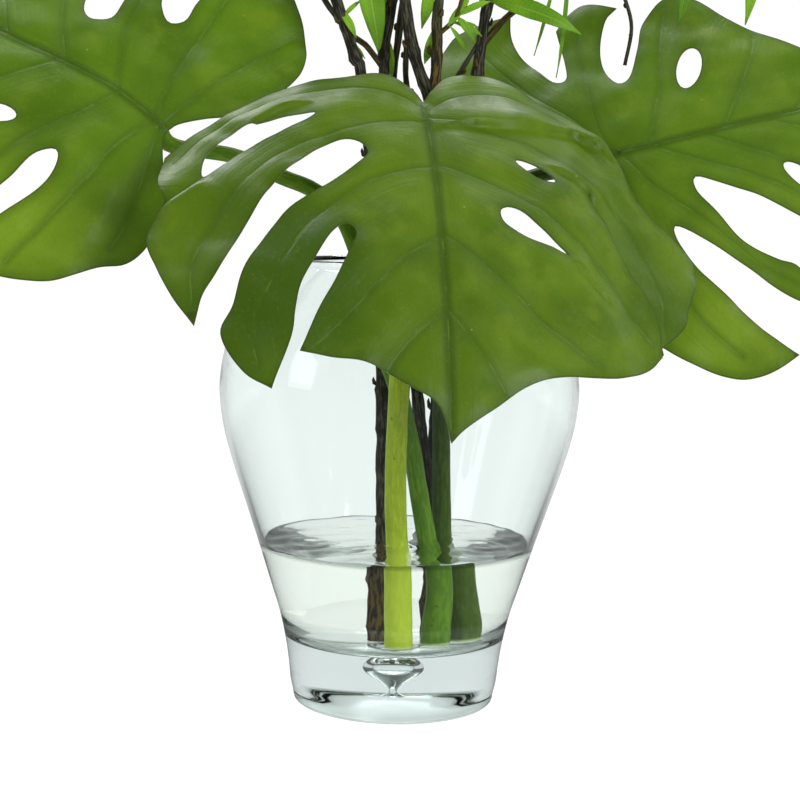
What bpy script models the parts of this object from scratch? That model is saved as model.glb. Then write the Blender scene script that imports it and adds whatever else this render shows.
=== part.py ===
"""Three split philodendron leaves and four leafy woody stems in a clear glass vase of water.

Metres, Z up, the vase's underside on z = 0 and its axis on the Z axis. Minus Y is the front.
"""

import math

import bpy
import numpy as np
from mathutils import Vector, geometry

# Driving dimensions, in millimetres unless a name says otherwise
MM = 0.001
ROUND = 36  # sides of the vase
RIM_Z, WALL = 248.5, 3.0
FLOOR_Z, FLOOR_R = 36.0, 40.0  # top of the thick glass base
WATER_Z = 91.0
GAP = 0.3  # between pieces that touch
BLADE = 0.9  # thickness of a large leaf
LANCE = 0.8  # thickness of a small leaf
STEP = 13.0  # spacing of points on a leaf's edge
MESH = 24.0  # spacing of points inside a leaf
LEAFY_Z = 418.0  # the small leaves that aren't placed by hand stand above this
CLEAR = 13.0  # least way from a small leaf's midrib to another piece

# Half section of the glass, radius and height
OUTSIDE = [
    (50, 0), (54.2, 1.5), (57, 6), (59, 18), (61.4, 35), (65, 51),
    (70, 67), (77, 89), (84.6, 112), (91.8, 134), (97.3, 154), (99.9, 172),
    (99.3, 187), (95.5, 204), (87, 221), (76, 235), (67.5, 243.5),
]
RIM = [(64.3, 247.8), (62.6, RIM_Z), (61.6, 245.5)]
INSIDE = [
    (73.5, 233), (84.6, 219), (92.7, 203), (96.3, 187), (96.7, 171), (94.3, 154.5),
    (88.9, 135), (81.7, 113), (74.1, 90), (67.4, 68.5), (62.4, 55),
    (55, 44), (48, 38.8), (FLOOR_R, FLOOR_Z), (0, FLOOR_Z),
]
BUBBLE = [
    (0, 27.5), (6.5, 26.5), (10.6, 22.5), (10.4, 18), (4, 12), (1.5, 8.5),
    (1.3, 3.5), (2.1, 0),
]

# Each large leaf: where its stalk meets it, its heading, its pitch there and at the tip,
# its roll, how much its sides droop, and its edge as runs of (along, across) points.
# A run ends in a corner, and its own points lie on a smooth curve.
LEAVES = {
    "leaf_front": dict(
        at=(9.9, -20, 332.3), yaw=8.5, pitch=(40, 62), length=230, roll=-8.5, droop=2.6,
        edge=[
            [(-3, 0), (-14, -7), (-23, -20), (-17, -45), (-10, -67), (10, -99),
             (28, -120), (45, -139)],
            [(45, -139), (62, -142), (78, -138)],
            [(78, -138), (102, -147), (121, -142), (139, -134), (156, -123)],
            [(156, -123), (139, -119), (124, -111), (97, -98), (72, -85), (54, -71),
             (37, -52), (35, -40), (43, -34), (54, -41), (74, -63), (86, -76),
             (107, -90), (125, -99), (145, -104), (162, -110), (183, -99), (193, -85)],
            [(193, -85), (164, -76), (148, -74), (133, -71), (116, -63), (101, -55),
             (95, -48), (101, -43), (115, -48), (132, -55), (148, -63), (172, -72)],
            [(172, -72), (174, -57), (177, -37), (188, -18), (194, -7), (202, -2), (215, 1)],
            [(215, 1), (207, 8), (194, 24), (180, 41), (172, 60), (164, 95), (153, 116),
             (142, 126)],
            [(142, 126), (120, 125), (103, 118), (83, 106), (61, 98), (44, 91)],
            [(44, 91), (61, 99.5), (83, 108), (103, 120), (120, 128), (142, 130)],
            [(142, 130), (118, 144), (98, 152), (77, 160), (62, 161), (50, 150),
             (42, 138), (25, 124), (3, 116), (-20, 97), (-25, 76), (-36, 56),
             (-40, 40), (-30, 18), (-14, 6), (-3, 0)],
        ],
        holes=[
            [(16, -60), (19, -78), (27, -98), (38, -110), (50, -118), (64, -119),
             (55, -108), (44, -97), (29, -76)],
        ],
        ovals=[(38, 59, 12, 4.6, 60), (86, 56, 24, 6.2, 59)],
    ),
    "leaf_left": dict(
        at=(-128.5, -25, 316.9), yaw=-96, pitch=(-34, -2), length=210, roll=-56, droop=1.2,
        edge=[
            [(-2, 0), (-4, 7), (-13, 19), (-23, 29), (-32, 48), (-34, 64), (-31, 76), (-21, 87),
             (-7, 108), (16, 121), (46, 128)],
            [(46, 128), (40, 104), (33, 82), (29, 66), (31, 53), (37, 47), (44, 55),
             (46, 74), (50, 98), (58, 125)],
            [(58, 125), (78, 124), (97, 115)],
            [(97, 115), (92, 92), (89, 72), (93, 61), (100, 67), (108, 84), (118, 104)],
            [(118, 104), (136, 93), (152, 78)],
            [(152, 78), (140, 62), (132, 50), (131, 42), (138, 43), (150, 54), (164, 66)],
            [(164, 66), (184, 44), (200, 20), (206, 8), (216, 0)],
            [(216, 0), (206, -10), (198, -26), (180, -52), (158, -76)],
            [(158, -76), (146, -60), (132, -46), (122, -42), (121, -50), (128, -64),
             (140, -90)],
            [(140, -90), (122, -103), (103, -110)],
            [(103, -110), (97, -88), (93, -68), (86, -46), (80, -35), (72, -32),
             (65, -40), (67, -54), (71, -76), (75, -100), (72, -124)],
            [(72, -124), (58, -132), (44, -130)],
            [(44, -130), (50, -110), (54, -90), (52, -70), (45, -60), (38, -57),
             (33, -65), (35, -78), (35, -92), (28, -112), (16, -131)],
            [(16, -131), (-4, -120), (-25, -102), (-33, -90), (-36, -76), (-33, -55),
             (-24, -32), (-13, -19), (-4, -7), (-2, 0)],
        ],
        holes=[],
        ovals=[(79, 48, 14, 6, 25)],
    ),
    "leaf_right": dict(
        at=(120, 50, 310.4), yaw=90, pitch=(-19, 4), length=210, roll=57, droop=1.2,
        grow=1.02,
        edge=[
            [(-2, 0), (-18, 9), (-40, 28), (-62, 48), (-84, 66), (-89, 86), (-77, 106),
             (-56, 121), (-26, 120)],
            [(-26, 120), (-30, 106), (-29, 90), (-22, 73), (-16, 61), (-9, 60),
             (-6, 73), (-4, 97)],
            [(-4, 97), (6, 107), (18, 110), (35, 100)],
            [(35, 100), (26, 94), (17, 76), (14, 59), (18, 46), (26, 48), (37, 67),
             (45, 83), (57, 94), (66, 98)],
            [(66, 98), (83, 89), (101, 66), (127, 40), (150, 24), (172, 9), (192, 0)],
            [(192, 0), (180, -12), (164, -32), (142, -54), (120, -72), (99, -84)],
            [(99, -84), (86, -70), (69, -52), (50, -37), (39, -30), (37, -39), (44, -56),
             (52, -76), (66, -91), (76, -100), (84, -127)],
            [(84, -127), (69, -118), (57, -104), (40, -80), (25, -61), (18, -56),
             (17, -67), (21, -84), (30, -104), (42, -126), (58, -148)],
            [(58, -148), (44, -153), (32, -154), (20, -151), (5, -140), (-12, -122),
             (-26, -94), (-32, -62), (-26, -34), (-14, -12), (-2, 0)],
        ],
        holes=[],
        ovals=[(60, 42, 15, 7, 62), (96, -45, 12, 5.5, -60)],
    ),
}

# Stalks of the large leaves: the leaf, the radius at foot and top, how far the end leans
# along the leaf's midrib, and the points from the glass floor up
STALKS = {
    "stalk_front": ("leaf_front", (6.5, 4.6), 0.05,
                    [(2, -22), (1, -22, 84), (-1, -22, 128), (0, -22, 186), (3, -17, 246),
                     (8, -9, 297)]),
    "stalk_left": ("leaf_left", (5.6, 4.0), 0.85,
                   [(18, -7), (19, -8, 80), (12, -5, 120), (4, -3, 159), (-12, -4, 209),
                    (-24, -4, 250), (-36, -6, 275), (-50, -10, 286), (-68, -15, 293),
                    (-92, -19, 303)]),
    "stalk_right": ("leaf_right", (5.6, 4.0), 0.8,
                    [(31, 6), (27, 8, 77), (25, 9, 124), (24, 11, 181), (26, 12, 212),
                     (31, 15, 240), (41, 22, 268), (56, 29, 287), (80, 37, 298)]),
}

# Woody stems. A twig is (the stem it leaves, the height there, its radius, how many leaves
# it carries, its later points), where stem 0 is the main one and 1 the first twig.
# A leaf given by hand is (its foot, its tip, its width), its foot lying on a stem.
SPRAYS = {
    "spray_left": dict(
        radius=(4.4, 1.9), leaves=8,
        path=[(-7, 5), (-7, 5, 78), (-8, 7, 112), (-9, 9, 160), (-14, 12, 260),
              (-25, 15, 349), (-28, 15, 358), (-36, 14, 381), (-42, 14, 398), (-62, 10, 460),
              (-94, 4, 560), (-120, -4, 650)],
        twigs=[(0, 396, 1.6, 4, [(-35, 20, 416), (-30, 23, 432), (-34, 26, 500),
                                 (-48, 30, 590)]),
               (0, 500, 1.7, 5, [(-98, -20, 524), (-134, -48, 572)])],
        lances=[((-30, 23, 430), (-15, 23, 362), 15), ((-37, 14, 385), (-28, 11, 370), 4.5)],
    ),
    "spray_back": dict(
        radius=(4.0, 1.8), leaves=8,
        path=[(16, 20), (17, 20, 80), (16, 19, 123), (10, 19, 172), (0, 22, 250),
              (-12, 25, 345), (-10, 26, 384), (-6, 29, 410), (-6, 40, 480), (2, 56, 600),
              (-4, 70, 730)],
        twigs=[(0, 354, 1.8, 5, [(-23, 25, 367), (-32, 27, 374), (-52, 40, 402),
                                 (-80, 62, 470), (-96, 84, 540)]),
               (0, 290, 2.2, 6, [(-8, 31, 335), (-5, 34, 372), (0, 38, 408), (18, 56, 480),
                                 (44, 78, 580), (58, 90, 650)])],
        lances=[((-8, 27, 408), (-14, 32, 378), 8), ((-11, 27, 372), (-8, 30, 349), 4.5)],
    ),
    "spray_middle": dict(
        radius=(4.6, 1.9), leaves=8,
        path=[(14, 30), (15, 31, 80), (19, 30, 111), (22, 28, 168), (20, 22, 255),
              (14, 13, 325), (13, 12, 338), (6, 11, 356), (1, 12, 376), (-3, 11, 400),
              (-14, -6, 470), (-20, -22, 580), (-12, -30, 690)],
        twigs=[(0, 334, 3.2, 8, [(16, 12, 347), (17, 12, 368), (17, 11, 392), (26, -8, 470),
                                 (38, -26, 590), (32, -34, 700)]),
               (0, 290, 2.0, 0, [(7, 20, 322), (0, 22, 348), (0, 23, 374), (0, 21, 404),
                                 (-3, 14, 430)]),
               (1, 372, 1.4, 4, [(27, 13, 383), (34, 8, 404), (56, -6, 440), (84, -24, 486)])],
        lances=[((17, 9, 414), (8, 18, 376), 8), ((17, 13, 378), (10, 20, 357), 6),
                ((22, 12, 377), (34, 18, 392), 4.5), ((27, 13, 383), (38, 15, 369), 4.5)],
    ),
    "spray_right": dict(
        radius=(4.4, 1.9), leaves=8,
        path=[(-2, 32), (-1, 33, 80), (0, 34, 140), (6, 34, 200), (20, 32, 260),
              (34, 32, 325), (40, 33, 351), (42, 33, 370), (44, 33, 386), (48, 33, 402),
              (66, 28, 470), (102, 14, 560), (128, 0, 650)],
        twigs=[(0, 368, 2.0, 5, [(53, 33, 382), (62, 33, 390), (76, 34, 402), (106, 38, 432),
                                 (148, 44, 456), (198, 48, 460)]),
               (0, 258, 2.3, 0, [(17, 26, 300), (21, 27, 330), (26, 28.5, 346),
                                 (33, 31, 358), (41, 33, 372)]),
               (1, 424, 1.1, 0, [(114, 46, 420), (124, 57, 402), (130, 61, 384),
                                 (127, 62, 362)]),
               (0, 500, 1.7, 5, [(96, 42, 540), (112, 60, 620)])],
        lances=[((45, 32, 394), (97, 20, 376), 11), ((83, 35, 408), (72, 30, 364), 3.5),
                ((90, 35, 415), (85, 30, 352), 4.5), ((160, 45, 458), (157, 58, 384), 10),
                ((196, 48, 461), (196, 58, 386), 11)],
    ),
}

COLOURS = {
    "vase": (0.80, 0.93, 0.93), "water": (0.86, 0.92, 0.84),
    "leaf_front": (0.080, 0.190, 0.018), "leaf_left": (0.070, 0.175, 0.018),
    "leaf_right": (0.075, 0.185, 0.020), "stalk_front": (0.265, 0.395, 0.060),
    "stalk_left": (0.085, 0.215, 0.040), "stalk_right": (0.055, 0.135, 0.022),
    "spray_left": (0.055, 0.070, 0.022), "spray_back": (0.050, 0.065, 0.022),
    "spray_middle": (0.055, 0.068, 0.020), "spray_right": (0.050, 0.062, 0.020),
}


def clear_scene():
    for obj in list(bpy.data.objects):
        bpy.data.objects.remove(obj)


def link(name, points, faces):
    """A mesh object from points in millimetres."""
    mesh = bpy.data.meshes.new(name)
    mesh.from_pydata([tuple(float(v) * MM for v in p) for p in points], [], faces)
    mesh.validate()
    obj = bpy.data.objects.new(name, mesh)
    bpy.context.scene.collection.objects.link(obj)
    return obj


def paint(obj):
    material = bpy.data.materials.new(obj.name)
    material.use_nodes = True
    shader = material.node_tree.nodes["Principled BSDF"]
    shader.inputs["Base Color"].default_value = (*COLOURS[obj.name], 1)
    clear = obj.name in ("vase", "water")
    shader.inputs["Roughness"].default_value = 0.03 if clear else 0.45
    shader.inputs["Transmission Weight"].default_value = 1.0 if clear else 0.0
    obj.data.materials.clear()
    obj.data.materials.append(material)


def turned(name, section):
    """A closed body turned about Z from a half section that runs from axis to axis."""
    points, rings = [], []
    for r, z in section:
        first = len(points)
        if r < 1e-6:
            points.append((0, 0, z))
            rings.append([first] * ROUND)
            continue
        for i in range(ROUND):
            a = 2 * math.pi * i / ROUND
            points.append((r * math.cos(a), r * math.sin(a), z))
        rings.append(list(range(first, first + ROUND)))
    faces = []
    for low, high in zip(rings, rings[1:]):
        for i in range(ROUND):
            j = (i + 1) % ROUND
            quad = [low[i], low[j], high[j], high[i]]
            face = [v for n, v in enumerate(quad) if v != quad[n - 1]]
            faces.append(face)
    return link(name, points, faces)


def smooth(points, step, closed=False):
    """Points about one step apart on a smooth curve through the given ones."""
    pts = [np.array(p, float) for p in points]
    if closed:
        pts = [pts[-1]] + pts + pts[:2]
    else:
        pts = [2 * pts[0] - pts[1]] + pts + [2 * pts[-1] - pts[-2]]
    out = []
    for a, b, c, d in zip(pts, pts[1:], pts[2:], pts[3:]):
        n = max(1, round(float(np.linalg.norm(c - b)) / step))
        for i in range(n):
            u = i / n
            out.append(0.5 * (2 * b + (c - a) * u + (2 * a - 5 * b + 4 * c - d) * u**2
                              + (3 * b - a - 3 * c + d) * u**3))
    if not closed:
        out.append(pts[-2])
    return out


def along_evenly(points, step):
    """The smooth curve through the points, cut to equal lengths near one step."""
    fine = np.array(smooth(points, step / 6))
    done = np.r_[0, np.cumsum(np.linalg.norm(np.diff(fine, axis=0), axis=1))]
    n = max(1, round(done[-1] / step))
    want = np.linspace(0, done[-1], n + 1)
    return np.stack([np.interp(want, done, fine[:, k]) for k in range(fine.shape[1])], 1)


def loops_of(leaf):
    """The outer edge and the holes of a leaf, each a closed list of flat points."""
    outer = []
    for run in leaf["edge"]:
        outer += list(along_evenly(run, STEP))[:-1]
    loops = [np.array(outer)]
    for hole in leaf["holes"]:
        fine = smooth(hole, STEP, closed=True)
        loops.append(np.array(fine))
    for s, t, long, wide, turn in leaf["ovals"]:
        n = 12 if long > 16 else 10
        c, d = math.cos(math.radians(turn)), math.sin(math.radians(turn))
        ring = [(long * math.cos(2 * math.pi * i / n), wide * math.sin(2 * math.pi * i / n))
                for i in range(n)]
        loops.append(np.array([(s + c * u - d * v, t + d * u + c * v) for u, v in ring]))
    return loops


def inside(loops, p):
    """Whether a flat point lies in the leaf, by counting the edges that a ray crosses."""
    hits = 0
    for loop in loops:
        q = np.roll(loop, -1, axis=0)
        above = (loop[:, 1] > p[1]) != (q[:, 1] > p[1])
        with np.errstate(divide="ignore", invalid="ignore"):
            cut = loop[:, 0] + (p[1] - loop[:, 1]) * (q[:, 0] - loop[:, 0]) / (q[:, 1] - loop[:, 1])
        hits += int(np.sum(above & (cut > p[0])))
    return hits % 2 == 1


def bend(leaf, flat):
    """Where flat leaf points (along, across) lie in space, with the surface's normals."""

    def place(s, t):
        p0, p1 = (math.radians(v) for v in leaf["pitch"])
        k = (p1 - p0) / leaf["length"]
        yaw = math.radians(leaf["yaw"])
        head = np.array([math.sin(yaw), -math.cos(yaw), 0.0])
        up = np.array([0.0, 0.0, 1.0])
        side = np.cross(up, head)
        pitch = p0 + k * s
        mid = (((np.sin(pitch) - math.sin(p0)) / k)[:, None] * head
               - ((math.cos(p0) - np.cos(pitch)) / k)[:, None] * up)
        above = np.sin(pitch)[:, None] * head + np.cos(pitch)[:, None] * up
        c = leaf["droop"] * MM
        off = (np.sign(t) * np.sin(c * abs(t)) / c)[:, None] * side
        sag = ((1 - np.cos(c * abs(t))) / c)[:, None] * above
        p = mid + off - sag
        axis = math.cos(p0) * head - math.sin(p0) * up
        r = math.radians(leaf["roll"])
        p = (p * math.cos(r) + np.cross(axis, p) * math.sin(r)
             + (p @ axis)[:, None] * axis * (1 - math.cos(r)))
        return p * leaf.get("grow", 1) + np.array(leaf["at"])

    s, t = flat[:, 0], flat[:, 1]
    points = place(s, t)
    normal = np.cross(place(s + 0.5, t) - place(s - 0.5, t), place(s, t + 0.5) - place(s, t - 0.5))
    normal /= np.linalg.norm(normal, axis=1)[:, None]
    return points, normal


def blade(name):
    """A large leaf: its flat outline cut into triangles, bent, and given its thickness."""
    leaf = LEAVES[name]
    loops = loops_of(leaf)
    flat, edges = [], []
    for loop in loops:
        first, n = len(flat), len(loop)
        flat += [tuple(p) for p in loop]
        edges += [(first + i, first + (i + 1) % n) for i in range(n)]
    rim = np.array(flat)
    low, high = rim.min(0), rim.max(0)
    rows = int((high[0] - low[0]) / (MESH * 0.866))
    for i in range(rows + 1):
        s = low[0] + i * MESH * 0.866
        t = low[1] + (MESH / 2 if i % 2 else 0)
        while t < high[1]:
            p = np.array((s, t))
            if inside(loops, p) and np.linalg.norm(rim - p, axis=1).min() > 0.42 * MESH:
                flat.append((s, t))
            t += MESH
    verts, _, tris, _, _, _ = geometry.delaunay_2d_cdt(
        [Vector(p) for p in flat], edges, [], 0, 1e-6
    )
    flat = np.array([tuple(v) for v in verts])
    kept = [t for t in tris if inside(loops, flat[list(t)].mean(0))]
    points, normal = bend(leaf, flat)
    n = len(flat)
    shell = np.vstack([points + normal * BLADE / 2, points - normal * BLADE / 2])
    faces, seen = [], {}
    for a, b, c in kept:
        faces += [(a, b, c), (n + a, n + c, n + b)]
        for u, v in ((a, b), (b, c), (c, a)):
            seen[(u, v)] = True
    for u, v in seen:
        if (v, u) not in seen:
            faces += [(v, u, n + u), (v, n + u, n + v)]
    used = sorted({i for f in faces for i in f})
    number = {v: i for i, v in enumerate(used)}
    return link(name, shell[used], [tuple(number[i] for i in f) for f in faces])


def tube(name, points, radii, sides):
    """A closed round stem along the points, its cross-sections turned as little as possible."""
    points = np.array(points, float)
    ahead = np.gradient(points, axis=0)
    ahead /= np.linalg.norm(ahead, axis=1)[:, None]
    side = np.cross(ahead[0], (0.0, 1.0, 0.0))
    verts, faces = [], []
    for i, (p, d) in enumerate(zip(points, ahead)):
        side = side - d * (side @ d)
        side /= np.linalg.norm(side)
        up = np.cross(d, side)
        for j in range(sides):
            a = 2 * math.pi * j / sides
            verts.append(p + radii[i] * (math.cos(a) * side + math.sin(a) * up))
        if i:
            for j in range(sides):
                a, b = (i - 1) * sides + j, (i - 1) * sides + (j + 1) % sides
                faces.append((a, b, b + sides, a + sides))
    last = len(verts) - sides
    faces.append(tuple(range(sides))[::-1])
    faces.append(tuple(range(last, last + sides)))
    return link(name, verts, faces)


def stalk_path(name):
    """A leaf stalk's points: up from the glass floor and in under its leaf, just clear of it."""
    leaf, (foot, top), lean, given = STALKS[name]
    x, y = given[0]
    base = [(x, y, FLOOR_Z + GAP), (x, y, FLOOR_Z + 14)]
    (at, ahead), (normal, _) = bend(LEAVES[leaf], np.array([(5.0, 0.0), (6.0, 0.0)]))
    way = normal * math.sqrt(1 - lean**2) + (ahead - at) / np.linalg.norm(ahead - at) * lean
    end = at - normal * (BLADE / 2 + GAP + top * lean)
    bends = list(base) + list(given[1:]) + [tuple(end - way * 14), tuple(end)]
    return along_evenly(bends, 15.0)


def widths(path, ends):
    foot, top = ends
    return [foot + (top - foot) * i / (len(path) - 1) for i in range(len(path))]


def spray_path(spray):
    x, y = spray["path"][0]
    return along_evenly([(x, y, FLOOR_Z + GAP), (x, y, FLOOR_Z + 14)] + spray["path"][1:], 24.0)


def lance(name, base, tip, up, wide):
    """A small pointed leaf from its foot on a twig to its tip, its face toward up."""
    base, tip = np.array(base, float), np.array(tip, float)
    length = np.linalg.norm(tip - base)
    along = (tip - base) / length
    side = np.cross(along, up)
    side /= np.linalg.norm(side)
    up = np.cross(side, along)
    rows = []
    for u, half in ((0.0, 0.9), (0.2, 0.40 * wide), (0.5, 0.50 * wide), (0.78, 0.34 * wide),
                    (1.0, 0.45)):
        mid = base + along * length * u + up * length * 0.42 * (u - u * u)
        rows.append((mid - side * half, mid + side * half))
    verts = [v + up * LANCE / 2 * k for a, b in rows for v, k in ((a, 1), (b, 1), (b, -1), (a, -1))]
    faces = [(3, 2, 1, 0)]
    for i in range(0, 4 * len(rows) - 4, 4):
        faces += [(i + j, i + (j + 1) % 4, i + (j + 1) % 4 + 4, i + j + 4) for j in range(4)]
    last = 4 * len(rows) - 4
    faces.append((last, last + 1, last + 2, last + 3))
    return link(name, verts, faces)


def at_height(path, z):
    """The point and the direction where a path first reaches a height."""
    for p, q in zip(path, path[1:]):
        if p[2] <= z < q[2]:
            return p + (q - p) * (z - p[2]) / (q[2] - p[2]), (q - p) / np.linalg.norm(q - p)
    return path[-1], path[-1] - path[-2]


def stems_of(name):
    """The stems of a spray as (points, radii), and the stretches that carry leaves."""
    plan = SPRAYS[name]
    main = spray_path(plan)
    stems = [(main, widths(main, plan["radius"]))]
    rows = [(main, plan["leaves"])]
    for parent, z, radius, count, points in plan["twigs"]:
        foot, _ = at_height(stems[parent][0], z)
        path = along_evenly([tuple(foot)] + points, 20.0)
        stems.append((path, widths(path, (radius, min(radius, 1.1)))))
        rows.append((path, count))
    return stems, [(path[path[:, 2] > LEAFY_Z], count) for path, count in rows if count]


def ribs(foot, tip):
    """Points along a small leaf, for judging how near it comes to another piece."""
    foot, tip = np.array(foot, float), np.array(tip, float)
    return [foot + (tip - foot) * u for u in (0.3, 0.5, 0.7, 0.9, 1.0)]


def plan_sprays():
    """All stems and small leaves. A leaf turns about its stem until it is clear of the rest."""
    plans = {name: stems_of(name) for name in SPRAYS}
    taken = {name: [p for path, _ in stems for p in path] for name, (stems, _) in plans.items()}
    for name in SPRAYS:
        for foot, tip, _ in SPRAYS[name]["lances"]:
            taken[name] += ribs(foot, tip)
    for name in LEAVES:
        taken[name] = list(bend(LEAVES[name], np.vstack(loops_of(LEAVES[name])))[0])
    done = {}
    for name, (stems, rows) in plans.items():
        others = np.array([p for other in taken if other != name for p in taken[other]])
        leaves = [(foot, tip, (0.1, -1.0, 0.3), w) for foot, tip, w in SPRAYS[name]["lances"]]
        for i, (path, count) in enumerate(rows):
            for j in range(count):
                at = (j + 0.7) / count * (len(path) - 1)
                k = min(int(at), len(path) - 2)
                p = path[k] + (path[k + 1] - path[k]) * (at - k)
                d = (path[k + 1] - path[k]) / np.linalg.norm(path[k + 1] - path[k])
                long = 62 + 9 * math.sin(2.1 * j + i)
                for trial in range(9):
                    turn = math.radians(137.5 * j + 70 * i + 40 + 40 * trial)
                    out = np.array([math.cos(turn), math.sin(turn), 0.0])
                    out -= d * (out @ d)
                    way = out / np.linalg.norm(out) * 0.8 + d * 0.55
                    tip = p + way / np.linalg.norm(way) * long - np.array((0, 0, 0.16 * long))
                    near = [np.linalg.norm(others - q, axis=1).min() for q in ribs(p, tip)]
                    if min(near) > CLEAR:
                        leaves.append((p, tip, d, 13 + 2 * math.sin(j)))
                        taken[name] += ribs(p, tip)
                        break
        done[name] = (stems, leaves)
    return done


def spray(name, stems, leaves):
    """A woody stem with its twigs and small leaves, joined into one body."""
    pieces = [tube(f"twig_{i}", p, r, 5) for i, (p, r) in enumerate(stems[1:])]
    pieces += [lance(f"lance_{i}", *leaf) for i, leaf in enumerate(leaves)]
    body = tube(name, *stems[0], 6)
    group = bpy.data.collections.new(name + "_pieces")
    bpy.context.scene.collection.children.link(group)
    for piece in pieces:
        bpy.context.scene.collection.objects.unlink(piece)
        group.objects.link(piece)
    join = body.modifiers.new("join", "BOOLEAN")
    join.operation, join.solver = "UNION", "EXACT"
    join.operand_type, join.collection = "COLLECTION", group
    join.use_self = True
    bpy.context.view_layer.objects.active = body
    bpy.ops.object.modifier_apply(modifier="join")
    for piece in pieces:
        bpy.data.objects.remove(piece)
    bpy.data.collections.remove(group)
    return body


def water():
    """The water: the vase's inside below the level, with a plain hole for each stem."""
    wall = [p for p in INSIDE if p[1] < WATER_Z and p[0] > FLOOR_R]
    section = [(0, FLOOR_Z + GAP), (FLOOR_R - 0.2, FLOOR_Z + GAP)]
    section += [(r - 1.25 * GAP, z + 0.4 * GAP) for r, z in wall[::-1]]
    section += [(74.1 + 0.33 * (WATER_Z - 90) - 1.25 * GAP, WATER_Z), (0, WATER_Z)]
    body = turned("water", section)
    holes = [(stalk_path(n), STALKS[n][1], 8) for n in STALKS]
    holes += [(spray_path(SPRAYS[n]), SPRAYS[n]["radius"], 6) for n in SPRAYS]
    for i, (path, ends, sides) in enumerate(holes):
        radii = widths(path, ends)
        near = [k for k, p in enumerate(path) if p[2] < WATER_Z + 26]
        run = [path[k] for k in near]
        run[0] = run[0] - np.array((0, 0, 8.0))
        cutter = tube(f"hole_{i}", run, [radii[k] + 1.2 * GAP for k in near], sides)
        cut = body.modifiers.new(f"hole_{i}", "BOOLEAN")
        cut.operation, cut.solver, cut.object = "DIFFERENCE", "EXACT", cutter
        bpy.context.view_layer.objects.active = body
        bpy.ops.object.modifier_apply(modifier=cut.name)
        bpy.data.objects.remove(cutter)
    return body


def main():
    clear_scene()
    turned("vase", BUBBLE + OUTSIDE + RIM + INSIDE)
    water()
    for name in LEAVES:
        blade(name)
    for name in STALKS:
        path = stalk_path(name)
        tube(name, path, widths(path, STALKS[name][1]), 8)
    for name, (stems, leaves) in plan_sprays().items():
        spray(name, stems, leaves)
    for obj in bpy.data.objects:
        paint(obj)


main()
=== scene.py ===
"""The philodendron arrangement dressed for its photograph: bent and veined leaf blades, green
stalks, barked stems with small leaves, a blown glass vase with a bubble in its base, and water.

Lengths are in millimetres up to the meshes, which are in metres. Z is up, minus Y the front.
"""

import math

import bpy
import numpy as np
from mathutils import Matrix, Vector, geometry, noise


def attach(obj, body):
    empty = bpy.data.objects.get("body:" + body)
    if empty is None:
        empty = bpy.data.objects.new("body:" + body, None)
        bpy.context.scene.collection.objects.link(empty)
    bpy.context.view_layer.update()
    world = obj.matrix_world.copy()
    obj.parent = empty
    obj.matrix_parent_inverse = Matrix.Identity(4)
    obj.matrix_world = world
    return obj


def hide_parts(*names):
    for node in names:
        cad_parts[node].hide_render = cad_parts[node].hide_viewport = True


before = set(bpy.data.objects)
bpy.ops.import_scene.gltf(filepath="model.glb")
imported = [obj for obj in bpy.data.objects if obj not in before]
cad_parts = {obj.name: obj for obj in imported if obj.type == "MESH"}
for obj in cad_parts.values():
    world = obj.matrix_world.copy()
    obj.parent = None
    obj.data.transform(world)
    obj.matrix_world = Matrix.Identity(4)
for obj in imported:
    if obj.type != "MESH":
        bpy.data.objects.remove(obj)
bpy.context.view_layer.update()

MM = 0.001
TURNS = 224  # sides of the vase and the water
FLOOR_Z, FLOOR_R = 36.0, 40.0  # top of the thick glass base
WATER_Z = 91.0
WET = 0.12  # how far the water reaches into the glass, so that no air shows between
GAP = 0.3  # between a stalk's foot and the glass floor
BLADE = 0.9  # thickness of a blade in the CAD model
SKIN = 0.7  # thickness of a blade here
EDGE_STEP, NET_STEP = 2.6, 3.4  # spacing of points on a blade's edge and inside it
LEAFY_Z = 418.0  # the leaves that follow a rule start above this height
CLEAR = 13.0  # room that such a leaf keeps from the other pieces
SILL = 14.0  # a stalk or stem runs straight up this far from the glass floor
FACING = (0.1, -1.0, 0.3)  # where the listed leaves turn their upper side

# The studio, in metres, watts and radians
FLOOR_HALF, FLOOR_SUNK = 12.0, 0.0006  # the floor lies just under the vase
LIT_POINT = (0.0, 0.0, 0.30)  # where every lamp points
CAMERA_AT = (0.0005, -0.98, 0.281)
CAMERA_PITCH, CAMERA_ROLL = math.radians(6.45), math.radians(1.25)
SENSOR, LENS = 36.0, 79.38  # millimetres

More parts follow.
